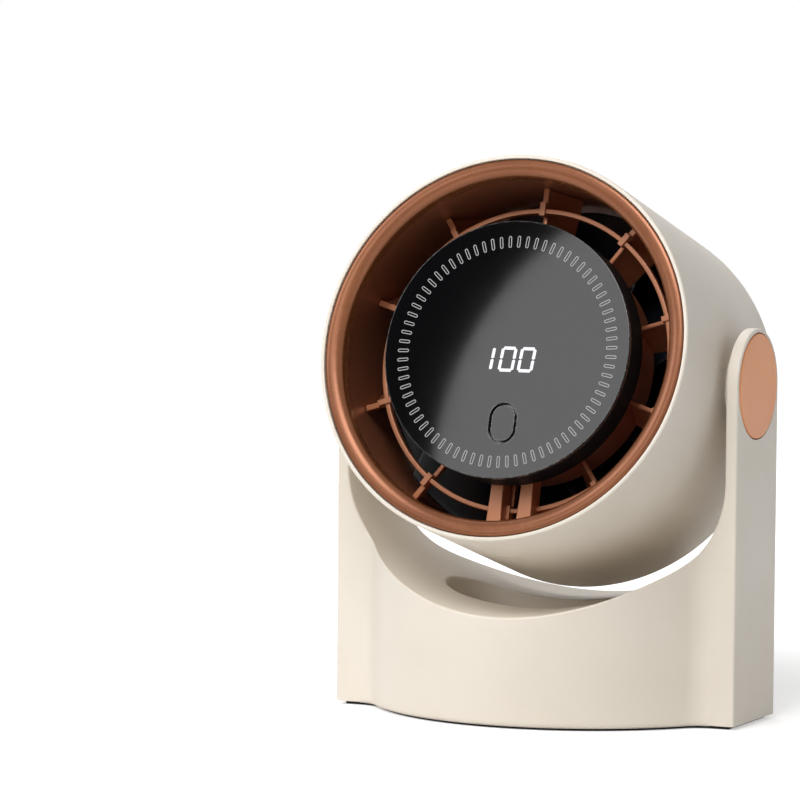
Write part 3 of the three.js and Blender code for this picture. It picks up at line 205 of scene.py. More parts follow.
class AirwaySizes(bpy.types.PropertyGroup):
    """Sizes of the guard, the guide vanes and the impeller."""

    ribs: count("Ribs", "Ribs of the guard and guide vanes behind them", 10)
    ring_radius: length("Ring radius", "Middle of the guard's ring", 0.0511)
    ring_width: length("Ring width", "Guard's ring, seen from the front", 0.0016)
    ring_front: length("Ring front", "Front of the guard's ring", 0.0284)
    ring_back: length("Ring back", "Back of the guard's ring", 0.026)
    rib_width: length("Rib width", "Each rib of the guard", 0.002)
    rib_overhang: length("Rib overhang", "Each rib's end inside the ring", 0.0009)
    rib_reach: length("Rib reach", "Each rib's end outside the ring", 0.0023)
    rib_web: length("Rib web", "Depth of the web from each rib to the duct", 0.0012)
    rib_proud: length("Rib proud", "Each rib in front of the ring", 0.0008)
    reach: length("Reach", "Outer end of ribs and vanes", 0.0593)
    left_strut: length("Left strut", "Middle of the left strut, to the right of the fan's middle", -0.0027)
    right_strut: length("Right strut", "Middle of the right strut, to the right of the fan's middle", 0.0079)
    strut_width: length("Strut width", "Strut at the hub", 0.0041)
    strut_flare: length("Strut flare", "Growth of a strut towards the duct, each side", 0.0007)
    strut_front: length("Strut front", "Front face of the struts", 0.0331)
    hub_radius: length("Hub radius", "Carrier of the guide vanes", 0.040)
    hub_wall: length("Hub wall", "Thickness of the carrier", 0.0018)
    hub_front: length("Hub front", "Front of the carrier", 0.0331)
    hub_hole: length("Hub hole", "Hole in the carrier's plate", 0.008)
    hub_plate: length("Hub plate", "Thickness of the carrier's plate", 0.002)
    vane_front: length("Vane front", "Front edge of the guide vanes", 0.0257)
    vane_back: length("Vane back", "Rear edge of the guide vanes", 0.0128)
    hub_back: length("Hub back", "Rear edge of the carrier", 0.0125)
    vane_thickness: length("Vane thickness", "Each guide vane", 0.0016)
    vane_twist: angle("Vane twist", "Turn of a guide vane from front to back", -7)
    blades: count("Blades", "Blades of the impeller", 9)
    wheel_hub: length("Wheel hub", "Radius of the impeller's hub", 0.030)
    wheel_wall: length("Wheel wall", "Thickness of the impeller's hub", 0.0018)
    wheel_front: length("Wheel front", "Front edge of the impeller's hub", 0.024)
    dome_start: length("Dome start", "Where the hub's rear dome begins", -0.006)
    dome_depth: length("Dome depth", "Depth of the hub's rear dome", 0.014)
    blade_tip: length("Blade tip", "Outer radius of the blades", 0.0582)
    blade_front: length("Blade front", "Front edge of the blades", 0.009)
    blade_back: length("Blade back", "Rear edge of the blades", -0.014)
    blade_thickness: length("Blade thickness", "Each blade", 0.0018)
    blade_twist: angle("Blade twist", "Turn of a blade from front to back", 60)
    blade_sweep: angle("Blade sweep", "Turn of a blade from hub to tip", 20.05)
    shaft_bore: length("Shaft bore", "Hole in the impeller's hub", 0.0018)
    boss_end: length("Boss end", "Front of the boss round the bore", -0.0144)
    boss_radius: length("Boss radius", "Boss round the bore", 0.0045)


class DisplaySizes(bpy.types.PropertyGroup):
    """Sizes of the display pod in the mouth of the drum."""

    radius: length("Radius", "Display pod", 0.04365)
    front: length("Front", "Face of the glass", 0.0454)
    back: length("Back", "Rear of the pod", 0.0334)
    wall: length("Wall", "Thickness of the pod's cup", 0.0018)
    cup_floor: length("Cup floor", "Thickness of the pod's floor", 0.0016)
    glass: length("Glass", "Thickness of the front glass", 0.0014)
    chamfer: length("Chamfer", "Bevel round the glass", 0.00035)
    gap: length("Gap", "Between glass and cup", 0.0003)
    ticks: count("Ticks", "Marks of the ring", 75)
    tick_inner: length("Tick inner", "Start of each mark", 0.0352)
    tick_outer: length("Tick outer", "End of each mark", 0.0392)
    tick_width: length("Tick width", "Each mark, across", 0.00115)
    line: length("Line", "Stroke of each mark's outline", 0.00026)
    print_height: length("Print height", "Printed marks above the glass", 0.00004)
    mark_right: length("Mark right", "Middle of the ring of marks, to the right", 0.00027)
    mark_up: length("Mark up", "Middle of the ring of marks, upwards", -0.0008)
    mark_turn: angle("Mark turn", "Turn of the ring of marks", 0.224)
    digit_height: length("Digit height", "Seven-segment figures", 0.0085)
    digit_width: length("Digit width", "Seven-segment figures", 0.0056)
    digit_pitch: length("Digit pitch", "From one figure to the next", 0.00685)
    digit_stroke: length("Digit stroke", "Width of a segment", 0.00105)
    digit_gap: length("Digit gap", "Between two segments", 0.00024)
    digit_right: length("Digit right", "Middle figure, to the right", 0.001)
    digit_up: length("Digit up", "Middle of the row, upwards", -0.0034)
    digit_slant: angle("Digit slant", "Lean of the figures", 5.5)
    one_shift: length("One shift", "Extra space after a figure one", 0.00085)
    button_width: length("Button width", "Power button", 0.0081)
    button_height: length("Button height", "Power button", 0.0119)
    button_drop: length("Button drop", "Power button below the middle", 0.0249)
    button_right: length("Button right", "Power button, to the right", 0.0019)
    groove: length("Groove", "Clearance round the button", 0.0009)
    flange: length("Flange", "Hidden edge behind the glass", 0.0016)
    flange_back: length("Flange back", "Rear of the button", 0.043)


class FinishColours(bpy.types.PropertyGroup):
    """Colours of the finishes."""

    cream: colour("Cream", "Housing and drum", "f3eadd")
    cream_tint: colour("Cream tint", "Slow drift in the cream plastic", "ede3d4")
    disc_copper: colour("Disc copper", "Pivot discs", "dc925c")
    disc_copper_tint: colour("Disc copper tint", "Slow drift in the paint of the discs", "d38b5d")
    # The lip's copper is far darker than the discs': painted shade, the lip darkened to the tone of its
    # shaded side.
    lip_copper: colour("Lip copper", "Lip of the mouth", "754120")
    lip_copper_tint: colour("Lip copper tint", "Slow drift in the paint of the lip", "854f2d")
    # Darker than the discs' copper: painted shade for the guard, which sits in the shade of the mouth.
    guard_copper: colour("Guard copper", "Guard in the mouth", "b87852")
    guard_copper_tint: colour("Guard copper tint", "Slow drift in the paint of the guard", "aa6c48")
    # Darker than the discs' copper: painted shade for the duct and vanes deep inside the drum.
    deep_copper: colour("Deep copper", "Duct and guide vanes", "aa6b4a")
    deep_copper_tint: colour("Deep copper tint", "Slow drift in the deep copper", "9d6042")
    black: colour("Black", "Pod and impeller", "0e0f11")
    glass: colour("Glass", "Display and button", "0b0b0c")
    # The ring's grey is drawn as a glow: painted light standing in for lit pale print.
    mark: colour("Mark", "Printed ring on the display", "a9a9a9")
    lit: colour("Lit", "Lit figures", "f7f9ff")
    rubber: colour("Rubber", "Pad and washers", "232326")
    floor: colour("Floor", "Floor of the stage", "f2f2f2")


SIZE_GROUPS = {
    "fan_stand": StandSizes,
    "fan_drum": DrumSizes,
    "fan_airway": AirwaySizes,
    "fan_display": DisplaySizes,
    "fan_colours": FinishColours,
}


# ---------------------------------------------------------------- modelling helpers


def drum_place(scene):
    """Turns a level drum piece to its place on the tilt axis."""
    lift = Matrix.Translation((0, 0, scene.fan_stand.pivot_height))
    return lift @ Matrix.Rotation(-scene.fan_drum.tilt, 4, "X")


def pivot_place(scene, side):
    """Turns a piece modelled round Y, its outside towards -Y, to the pivot on one side."""
    lift = Matrix.Translation((0, 0, scene.fan_stand.pivot_height))
    return lift @ Matrix.Rotation(side * math.pi / 2, 4, "Z")


def spun(profile, steps=160):
    """A solid of revolution round Y. The profile lists (radius, forward), forward being -Y."""
    bm = bmesh.new()
    corners = [bm.verts.new((radius, -forward, 0)) for radius, forward in profile]
    sides = [bm.edges.new(pair) for pair in zip(corners, corners[1:] + corners[:1])]
    bmesh.ops.spin(
        bm, geom=corners + sides, cent=(0, 0, 0), axis=(0, 1, 0), angle=FULL_TURN, steps=steps, use_merge=True
    )
    bmesh.ops.remove_doubles(bm, verts=bm.verts, dist=1e-6)
    bmesh.ops.dissolve_degenerate(bm, dist=1e-6, edges=bm.edges)
    bmesh.ops.recalc_face_normals(bm, faces=bm.faces)
    return bm


def arc_profile(centre, radii, start, end, steps):
    """Points of an elliptic arc, as (radius, forward), between two angles in degrees."""
    points = []
    for step in range(steps + 1):
        turn = math.radians(start + (end - start) * step / steps)
        points.append((centre[0] + radii[0] * math.cos(turn), centre[1] + radii[1] * math.sin(turn)))
    return points


def sweep_arc(bm, corner, centre, turn, steps, axis=(0, 0, 1)):
    """Carries an outline on from its last corner along an arc, and gives the new last corner."""
    swept = bmesh.ops.spin(bm, geom=[corner], cent=centre, axis=axis, angle=turn, steps=steps)
    return next(item for item in swept["geom_last"] if isinstance(item, bmesh.types.BMVert))


def carry_line(bm, corner, place):
    """Carries an outline on in a straight line."""
    end = bm.verts.new(place)
    bm.edges.new((corner, end))
    return end


def close_outline(bm, mirror=None):
    """Mirrors an outline if asked, and fills it with one face."""
    if mirror:
        bmesh.ops.mirror(bm, geom=bm.verts[:] + bm.edges[:], matrix=Matrix(), merge_dist=1e-6, axis=mirror)
    bmesh.ops.remove_doubles(bm, verts=bm.verts, dist=1e-6)
    loose = [edge for edge in bm.edges if edge.is_wire]
    bmesh.ops.contextual_create(bm, geom=loose)
    return bm


def extruded(bm, way):
    """Turns a filled outline into a prism."""
    grown = bmesh.ops.extrude_face_region(bm, geom=bm.faces[:])
    moved = [item for item in grown["geom"] if isinstance(item, bmesh.types.BMVert)]
    bmesh.ops.translate(bm, verts=moved, vec=way)
    bmesh.ops.recalc_face_normals(bm, faces=bm.faces)
    return bm


def stadium(width, height, steps=12):
    """A filled stadium in the XZ plane, its rounded ends along the longer side."""
    bm = bmesh.new()
    radius = min(width, height) / 2
    along = max(width, height) / 2 - radius
    upright = height >= width
    axis = (0, 1, 0)
    if upright:
        start = bm.verts.new((radius, 0, -along))
        last = carry_line(bm, start, (radius, 0, along))
        last = sweep_arc(bm, last, (0, 0, along), -math.pi, steps, axis)
        last = carry_line(bm, last, (-radius, 0, -along))
        sweep_arc(bm, last, (0, 0, -along), -math.pi, steps, axis)
    else:
        start = bm.verts.new((-along, 0, radius))
        last = carry_line(bm, start, (along, 0, radius))
        last = sweep_arc(bm, last, (along, 0, 0), math.pi, steps, axis)
        last = carry_line(bm, last, (-along, 0, -radius))
        sweep_arc(bm, last, (-along, 0, 0), math.pi, steps, axis)
    return close_outline(bm)


def box(low, high):
    """A block between two corners."""
    bm = bmesh.new()
    low, high = Vector(low), Vector(high)
    bmesh.ops.create_cube(bm, size=1)
    bmesh.ops.scale(bm, verts=bm.verts, vec=high - low)
    bmesh.ops.translate(bm, verts=bm.verts, vec=(low + high) / 2)
    return bm


def rod(radius, near, far, steps=48):
    """A round rod along Y between two distances forward."""
    bm = bmesh.new()
    bmesh.ops.create_cone(bm, cap_ends=True, segments=steps, radius1=radius, radius2=radius, depth=far - near)
    bmesh.ops.rotate(bm, verts=bm.verts, matrix=Matrix.Rotation(math.pi / 2, 3, "X"))
    bmesh.ops.translate(bm, verts=bm.verts, vec=(0, -(near + far) / 2, 0))
    return bm


def placed(bm, matrix):
    """The same shape, moved."""
    bmesh.ops.transform(bm, matrix=matrix, verts=bm.verts)
    return bm


def gathered(shapes):
    """Several closed shapes in one mesh."""
    whole = bmesh.new()
    for shape in shapes:
        mesh = bpy.data.meshes.new("part")
        shape.to_mesh(mesh)
        shape.free()
        whole.from_mesh(mesh)
        bpy.data.meshes.remove(mesh)
    return whole


def repeated(shape, number):
    """Copies of a shape, evenly round the Y axis."""
    source = shape.verts[:] + shape.edges[:] + shape.faces[:]
    for step in range(1, number):
        copy = bmesh.ops.duplicate(shape, geom=source)
        verts = [item for item in copy["geom"] if isinstance(item, bmesh.types.BMVert)]
        turn = Matrix.Rotation(-FULL_TURN * step / number, 3, "Y")
        bmesh.ops.rotate(shape, verts=verts, matrix=turn)
    return shape


def plain_object(bm, name):
    """A bare object that holds a shape."""
    mesh = bpy.data.meshes.new(name)
    bm.to_mesh(mesh)
    bm.free()
    holder = bpy.data.objects.new(name, mesh)
    bpy.context.scene.collection.objects.link(holder)
    return holder


def combined(solid, tools, operation="DIFFERENCE"):
    """A solid with other shapes cut out of it or joined to it."""
    holders = [plain_object(solid, "solid")]
    for tool in tools:
        holders.append(plain_object(tool, "tool"))
        change = holders[0].modifiers.new("change", "BOOLEAN")
        change.operation = operation
        change.solver = "EXACT"
        change.object = holders[-1]
    graph = bpy.context.evaluated_depsgraph_get()
    result = bmesh.new()
    result.from_mesh(holders[0].evaluated_get(graph).to_mesh())
    for holder in holders:
        mesh = holder.data
        bpy.data.objects.remove(holder)
        bpy.data.meshes.remove(mesh)
    bmesh.ops.remove_doubles(result, verts=result.verts, dist=2e-5)
    bmesh.ops.dissolve_degenerate(result, dist=1e-5, edges=result.edges)
    return result


def soften(bm, width, segments=2, chosen=None, threshold=math.radians(40)):
    """Rounds the sharp edges, or those of them that the test accepts."""
    edges = [
        edge
        for edge in bm.edges
        if len(edge.link_faces) == 2 and edge.calc_face_angle(0) > threshold and (not chosen or chosen(edge))
    ]
    bmesh.ops.bevel(
        bm,
        geom=edges,
        offset=width,
        offset_type="OFFSET",
        segments=segments,
        profile=0.5,
        affect="EDGES",
        clamp_overlap=False,
        material=-1,
    )
    return bm


def finished(bm, name, finish, body, nodes=(), even=True):
    """Makes a piece of the object: smooth shading, finish, body and the CAD nodes it stands for."""
    for face in bm.faces:
        face.smooth = True
    for edge in bm.edges:
        edge.smooth = edge.calc_face_angle(0) < SMOOTH_ANGLE
    piece = plain_object(bm, name)
    piece.data.materials.append(bpy.data.materials[FINISH_PREFIX + finish])
    if even:
        shading = piece.modifiers.new("even shading", "WEIGHTED_NORMAL")
        shading.keep_sharp = True
        shading.weight = 80
    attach(piece, body)
    if nodes:
        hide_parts(*nodes)
    return piece


# ---------------------------------------------------------------- shader groups


def new_group(name, inputs, outputs):
    """An empty shader group with named sockets."""
    group = bpy.data.node_groups.new(name, "ShaderNodeTree")
    for label, kind, default in inputs:
        socket = group.interface.new_socket(name=label, in_out="INPUT", socket_type=kind)
        if default is not None:
            socket.default_value = default
    for label, kind in outputs:
        group.interface.new_socket(name=label, in_out="OUTPUT", socket_type=kind)
    entry = group.nodes.new("NodeGroupInput")
    leave = group.nodes.new("NodeGroupOutput")
    return group, entry, leave


def add_node(tree, kind, **settings):
    """A node with its settings and its unlinked inputs given by name."""
    node = tree.nodes.new(kind)
    inputs = settings.pop("inputs", {})
    for key, value in settings.items():
        setattr(node, key, value)
    for key, value in inputs.items():
        node.inputs[key].default_value = value
    return node


def moulded_grain_group(patch_share=0.6):
    """Fine spark-eroded grain: a height for the bump and a mask for the gloss."""
    group, entry, leave = new_group(
        "moulded_grain",
        [
            ("Coordinates", "NodeSocketVector", None),
            ("Scale", "NodeSocketFloat", 4000.0),
            ("Patches", "NodeSocketFloat", 90.0),
        ],
        [("Height", "NodeSocketFloat"), ("Mask", "NodeSocketFloat")],
    )
    grain = add_node(group, "ShaderNodeTexNoise", inputs={"Detail": 3.0, "Roughness": 0.62})
    patches = add_node(group, "ShaderNodeTexNoise", inputs={"Detail": 2.0, "Roughness": 0.5})
    blend = add_node(group, "ShaderNodeMath", operation="MULTIPLY_ADD")
    blend.inputs[1].default_value = patch_share
    link = group.links.new
    link(entry.outputs["Coordinates"], grain.inputs["Vector"])
    link(entry.outputs["Scale"], grain.inputs["Scale"])
    link(entry.outputs["Coordinates"], patches.inputs["Vector"])
    link(entry.outputs["Patches"], patches.inputs["Scale"])
    link(grain.outputs["Fac"], leave.inputs["Height"])
    link(patches.outputs["Fac"], blend.inputs[0])
    fine = add_node(group, "ShaderNodeMath", operation="MULTIPLY")
    fine.inputs[1].default_value = 1 - patch_share
    link(grain.outputs["Fac"], fine.inputs[0])
    link(fine.outputs[0], blend.inputs[2])
    link(blend.outputs[0], leave.inputs["Mask"])


def tone_drift_group():
    """Slow colour drift between a colour and its tint."""
    group, entry, leave = new_group(
        "tone_drift",
        [
            ("Coordinates", "NodeSocketVector", None),
            ("Color", "NodeSocketColor", (1, 1, 1, 1)),
            ("Tint", "NodeSocketColor", (1, 1, 1, 1)),
            ("Scale", "NodeSocketFloat", 14.0),
        ],
        [("Color", "NodeSocketColor")],
    )
    clouds = add_node(group, "ShaderNodeTexNoise", inputs={"Detail": 4.0, "Roughness": 0.55})
    spread = add_node(group, "ShaderNodeMapRange", inputs={"From Min": 0.35, "From Max": 0.65})
    mix = add_node(group, "ShaderNodeMix", data_type="RGBA")
    link = group.links.new
    link(entry.outputs["Coordinates"], clouds.inputs["Vector"])
    link(entry.outputs["Scale"], clouds.inputs["Scale"])
    link(clouds.outputs["Fac"], spread.inputs["Value"])
    link(spread.outputs["Result"], mix.inputs[0])
    link(entry.outputs["Color"], mix.inputs[6])
    link(entry.outputs["Tint"], mix.inputs[7])
    link(mix.outputs[2], leave.inputs["Color"])


def wear_and_highlight_group():
    """A mask that is bright where the surface turns over an edge, broken up by noise: scuffed edges on most
    finishes, and on the display glass a painted highlight along its bevel.
    """
    group, entry, leave = new_group(
        "edge_wear",
        [
            ("Coordinates", "NodeSocketVector", None),
            ("Radius", "NodeSocketFloat", 0.0006),
            ("Amount", "NodeSocketFloat", 1.0),
        ],
        [("Mask", "NodeSocketFloat")],
    )
    rounded = add_node(group, "ShaderNodeBevel", samples=4)
    surface = add_node(group, "ShaderNodeNewGeometry")
    match = add_node(group, "ShaderNodeVectorMath", operation="DOT_PRODUCT")
    turned = add_node(group, "ShaderNodeMapRange", inputs={"From Min": 0.995, "From Max": 0.88})
    chips = add_node(group, "ShaderNodeTexNoise", inputs={"Scale": 700.0, "Detail": 3.0, "Roughness": 0.6})
    broken = add_node(group, "ShaderNodeMapRange", inputs={"From Min": 0.4, "From Max": 0.62})
    both = add_node(group, "ShaderNodeMath", operation="MULTIPLY")
    level = add_node(group, "ShaderNodeMath", operation="MULTIPLY", use_clamp=True)
    link = group.links.new
    link(entry.outputs["Radius"], rounded.inputs["Radius"])
    link(rounded.outputs["Normal"], match.inputs[0])
    link(surface.outputs["Normal"], match.inputs[1])
    link(match.outputs["Value"], turned.inputs["Value"])
    link(entry.outputs["Coordinates"], chips.inputs["Vector"])
    link(chips.outputs["Fac"], broken.inputs["Value"])
    link(turned.outputs["Result"], both.inputs[0])
    link(broken.outputs["Result"], both.inputs[1])
    link(both.outputs[0], level.inputs[0])
    link(entry.outputs["Amount"], level.inputs[1])
    link(level.outputs[0], leave.inputs["Mask"])


def place_group(tree, name, **values):
    """A shader group in a material, with its own values."""
    node = tree.nodes.new("ShaderNodeGroup")
    node.node_tree = bpy.data.node_groups[name]
    for key, value in values.items():
        node.inputs[key].default_value = value
    return node


def opaque(value):
    """A colour with its fourth number."""
    return (*value, 1.0)


def new_finish(
    name,
    base,
    tint,
    wear_and_highlight_colour,
    roughness,
    spread=0.06,
    grain=4000.0,
    relief=0.00001,
    drift=14.0,
    wear_and_highlight=0.5,
    metallic=0.0,
    specular=0.5,
):
    """A finish with drifting tone, moulded grain, varied gloss and lighter edges: scuffs on most finishes, a
    painted highlight along the edges of the display glass.
    """
    material = bpy.data.materials.new(FINISH_PREFIX + name)
    material.use_nodes = True
    tree = material.node_tree
    shader = tree.nodes["Principled BSDF"]
    shader.inputs["Metallic"].default_value = metallic
    shader.inputs["Specular IOR Level"].default_value = specular
    place = add_node(tree, "ShaderNodeTexCoord")
    texture = place_group(tree, "moulded_grain", Scale=grain)
    tone = place_group(tree, "tone_drift", Color=opaque(base), Tint=opaque(tint), Scale=drift)
    edges = place_group(tree, "edge_wear", Amount=wear_and_highlight)
    mix = add_node(tree, "ShaderNodeMix", data_type="RGBA")
    mix.inputs[7].default_value = opaque(wear_and_highlight_colour)
    gloss = add_node(
        tree,
        "ShaderNodeMapRange",
        inputs={"From Min": 0.3, "From Max": 0.7, "To Min": roughness - spread, "To Max": roughness + spread},
    )
    bump = add_node(tree, "ShaderNodeBump", inputs={"Strength": 1.0, "Distance": relief})
    link = tree.links.new
    for group in (texture, tone, edges):
        link(place.outputs["Object"], group.inputs["Coordinates"])
    link(edges.outputs["Mask"], mix.inputs[0])
    link(tone.outputs["Color"], mix.inputs[6])
    link(mix.outputs[2], shader.inputs["Base Color"])
    link(texture.outputs["Mask"], gloss.inputs["Value"])
    link(gloss.outputs["Result"], shader.inputs["Roughness"])
    link(texture.outputs["Height"], bump.inputs["Height"])
    link(bump.outputs["Normal"], shader.inputs["Normal"])


def lit_finish(name, base, strength, dimmed=0.86):
    """A mark that glows evenly, with a slight drift along it: for the lit figures this is real light, for the
    printed ring the glow is painted light.
    """
    material = bpy.data.materials.new(FINISH_PREFIX + name)
    material.use_nodes = True
    tree = material.node_tree
    shader = tree.nodes["Principled BSDF"]
    shader.inputs["Base Color"].default_value = (0.02, 0.02, 0.02, 1)
    shader.inputs["Roughness"].default_value = 0.4
    shader.inputs["Emission Strength"].default_value = strength
    place = add_node(tree, "ShaderNodeTexCoord")
    dim = [part * dimmed for part in base]
    tone = place_group(tree, "tone_drift", Color=opaque(base), Tint=opaque(dim), Scale=300.0)
    tree.links.new(place.outputs["Object"], tone.inputs["Coordinates"])
    tree.links.new(tone.outputs["Color"], shader.inputs["Emission Color"])


INNER_FINISHES = (
    ("steel", "a9abae", "9da0a4", "c8cacc", 0.3, {"metallic": 1.0, "relief": 0.000004}),
    ("nickel", "c9c6bd", "bdb9ae", "dedbd2", 0.22, {"metallic": 1.0, "relief": 0.000002}),
    ("aluminium", "b4b6b8", "a9abad", "cccdce", 0.42, {"metallic": 1.0, "relief": 0.000006}),
    ("circuit_board", "1d5c3a", "174d30", "b59a4a", 0.45, {"grain": 1500.0, "drift": 180.0}),
    ("windings", "8a4b22", "6f3916", "b06a38", 0.34, {"metallic": 0.8, "grain": 1200.0}),
    ("cell_wrap", "2f7fae", "28709b", "5b9dc4", 0.3, {"spread": 0.04, "relief": 0.000003}),
    ("diffuser", "e8e8e8", "dddddd", "f4f4f4", 0.55, {}),
    ("magnet", "3a3a3e", "323236", "56565a", 0.6, {"metallic": 0.3}),
    ("contact_gold", "c9a045", "b98f38", "e0bd6a", 0.25, {"metallic": 1.0}),
)


class FAN_OT_finishes(bpy.types.Operator):
    """Make the shader groups and every finish"""

    bl_idname = "fan.finishes"
    bl_label = "Finishes"

    def execute(self, context):
        moulded_grain_group()
        tone_drift_group()
        wear_and_highlight_group()
        looks = context.scene.fan_colours
        new_finish("cream_plastic", looks.cream, looks.cream_tint, shade("f6f0e4"), 0.42, relief=0.000012)
        coppers = (
            ("disc_copper_paint", looks.disc_copper, looks.disc_copper_tint, shade("e9b592"), 0.42, 0.3),
            ("lip_copper_paint", looks.lip_copper, looks.lip_copper_tint, shade("a8734e"), 0.27, 0.4),
            ("guard_copper_paint", looks.guard_copper, looks.guard_copper_tint, shade("c98d68"), 0.4, 0.2),
        )
        paint = {"grain": 6000.0, "relief": 0.000006}
        for name, base, tint, wear_and_highlight_colour, roughness, metallic in coppers:
            new_finish(name, base, tint, wear_and_highlight_colour, roughness, metallic=metallic, wear_and_highlight=0.35, **paint)
        deep = (looks.deep_copper, looks.deep_copper_tint, shade("b9805f"))
        new_finish("deep_copper_paint", *deep, 0.4, metallic=0.4, wear_and_highlight=0.3, **paint)
        pod = (looks.black, shade("121315"), shade("222327"))
        new_finish("black_plastic", *pod, 0.55, wear_and_highlight=0.4, specular=0.12)
        wheel = (shade("15181e"), shade("1b2029"), shade("323844"))
        new_finish("blade_plastic", *wheel, 0.3, spread=0.04, specular=0.4)
        # The grey along the glass's edges is a painted highlight: light caught by the glass's polished bevel,
        # painted in as colour.
        glass = (looks.glass, shade("0d0d0f"), shade("8c8c8c"))
        new_finish("display_glass", *glass, 0.045, spread=0.008, grain=900.0, relief=0.0000001, wear_and_highlight=1.0)
        rubber = (looks.rubber, shade("2b2b2e"), shade("3c3c40"))
        new_finish("rubber", *rubber, 0.82, relief=0.00003, grain=2500.0)
        for name, base, tint, wear_and_highlight_colour, roughness, others in INNER_FINISHES:
            new_finish(name, shade(base), shade(tint), shade(wear_and_highlight_colour), roughness, **others)
        # The printed ring is no lamp: its glow is painted light, standing for the light that falls on pale
        # print.
        lit_finish("printed_mark", looks.mark, 1.0)
        lit_finish("lit_figure", looks.lit, 1.15)
        return {"FINISHED"}


# ---------------------------------------------------------------- stand


def plan_outline(sizes, inset):
    """Filled outline of the stand seen from above, drawn in by an inset."""
    bm = bmesh.new()
    half = sizes.width / 2
    for depth, way in ((sizes.front_bulge, -1), (sizes.rear_bulge, 1)):
        centre = depth - sizes.bulge_radius
        flank_x = half - sizes.flank_inset
        lift = sizes.arm_half_depth - centre
        flank = (flank_x**2 + lift**2 - sizes.bulge_radius**2) / (2 * (sizes.bulge_radius - lift))
        flank_y = sizes.arm_half_depth + flank
        lean = math.atan2(flank_y - centre, flank_x)
        past = min(sizes.flank_inset - inset, 0) / (flank + inset)
        sag = math.asin(past) - math.pi / 2 - (lean - math.pi)
        last = bm.verts.new((0, way * (depth - inset), 0))
        last = sweep_arc(bm, last, (0, way * centre, 0), -way * (math.pi / 2 - lean), 26)
        last = sweep_arc(bm, last, (flank_x, way * flank_y, 0), way * sag, 14)
        if inset < sizes.flank_inset:
            last = carry_line(bm, last, (half - inset, way * (sizes.arm_half_depth - inset), 0))
        if way < 0:
            front_end = last
    bm.edges.new((front_end, last))
    return close_outline(bm, mirror="X")


def saddle_tool(sizes, margin):
    """The space between the arms, grown by a margin, as a prism from front to back."""
    bm = bmesh.new()
    half = sizes.width / 2 - sizes.arm_thickness + margin
    arc = sizes.saddle_radius + margin
    corner = sizes.saddle_corner + margin
    arc_z = sizes.saddle_height + sizes.saddle_radius
    corner_x = half - corner
    corner_z = arc_z - math.sqrt((arc - corner) ** 2 - corner_x**2)
    lean = math.atan2(corner_z - arc_z, corner_x)
    front = -2 * sizes.front_bulge
    last = bm.verts.new((0, front, sizes.saddle_height - margin))
    last = sweep_arc(bm, last, (0, front, arc_z), -(lean + math.pi / 2), 22, axis=(0, 1, 0))
    last = sweep_arc(bm, last, (corner_x, front, corner_z), lean, 22, axis=(0, 1, 0))
    last = carry_line(bm, last, (half, front, 2 * sizes.pivot_height))
    carry_line(bm, last, (0, front, 2 * sizes.pivot_height))
    close_outline(bm, mirror="X")
    return extruded(bm, (0, 4 * sizes.front_bulge, 0))


def arm_top_tool(sizes):
    """What is cut away round the arms' round tops."""
    bm = bmesh.new()
    reach = 2 * sizes.arm_half_depth
    side = -0.6 * sizes.width
    radius = sizes.arm_half_depth
    last = bm.verts.new((side, radius, sizes.pivot_height))
    start = last
    last = sweep_arc(bm, last, (side, 0, sizes.pivot_height), math.pi, 48, axis=(1, 0, 0))
    for y, z in ((-reach, 0), (-reach, reach), (reach, reach), (reach, 0)):
        last = carry_line(bm, last, (side, y, sizes.pivot_height + z))
    bm.edges.new((last, start))
    close_outline(bm)
    return extruded(bm, (1.2 * sizes.width, 0, 0))


def pocket_tool(sizes, margin, top):
    """The recess in the saddle, with a rounded floor."""
    bm = stadium(sizes.pocket_length + 2 * margin, sizes.pocket_width + 2 * margin, steps=24)
    floor = sizes.pocket_floor - margin
    extruded(bm, (0, top - floor, 0))
    soften(bm, sizes.pocket_round, 4, chosen=lambda edge: all(vert.co.y < 1e-6 for vert in edge.verts))
    spot = Matrix.Translation((0, sizes.pocket_centre, floor))
    return placed(bm, spot @ Matrix.Rotation(math.pi / 2, 4, "X"))


def even_rim(housing, sizes, off_line=0.0002, below=0.0005, closer_than=0.0008):
    """Joins the closest corners of the recess's rim, so that its edge can be rounded."""
    along = (sizes.pocket_length - sizes.pocket_width) / 2
    rim = []
    for vert in housing.verts:
        beyond = max(abs(vert.co.x) - along, 0)
        off = math.hypot(beyond, vert.co.y - sizes.pocket_centre) - sizes.pocket_width / 2
        if abs(off) < off_line and vert.co.z > sizes.saddle_height - below:
            rim.append(vert)
    bmesh.ops.remove_doubles(housing, verts=rim, dist=closer_than)


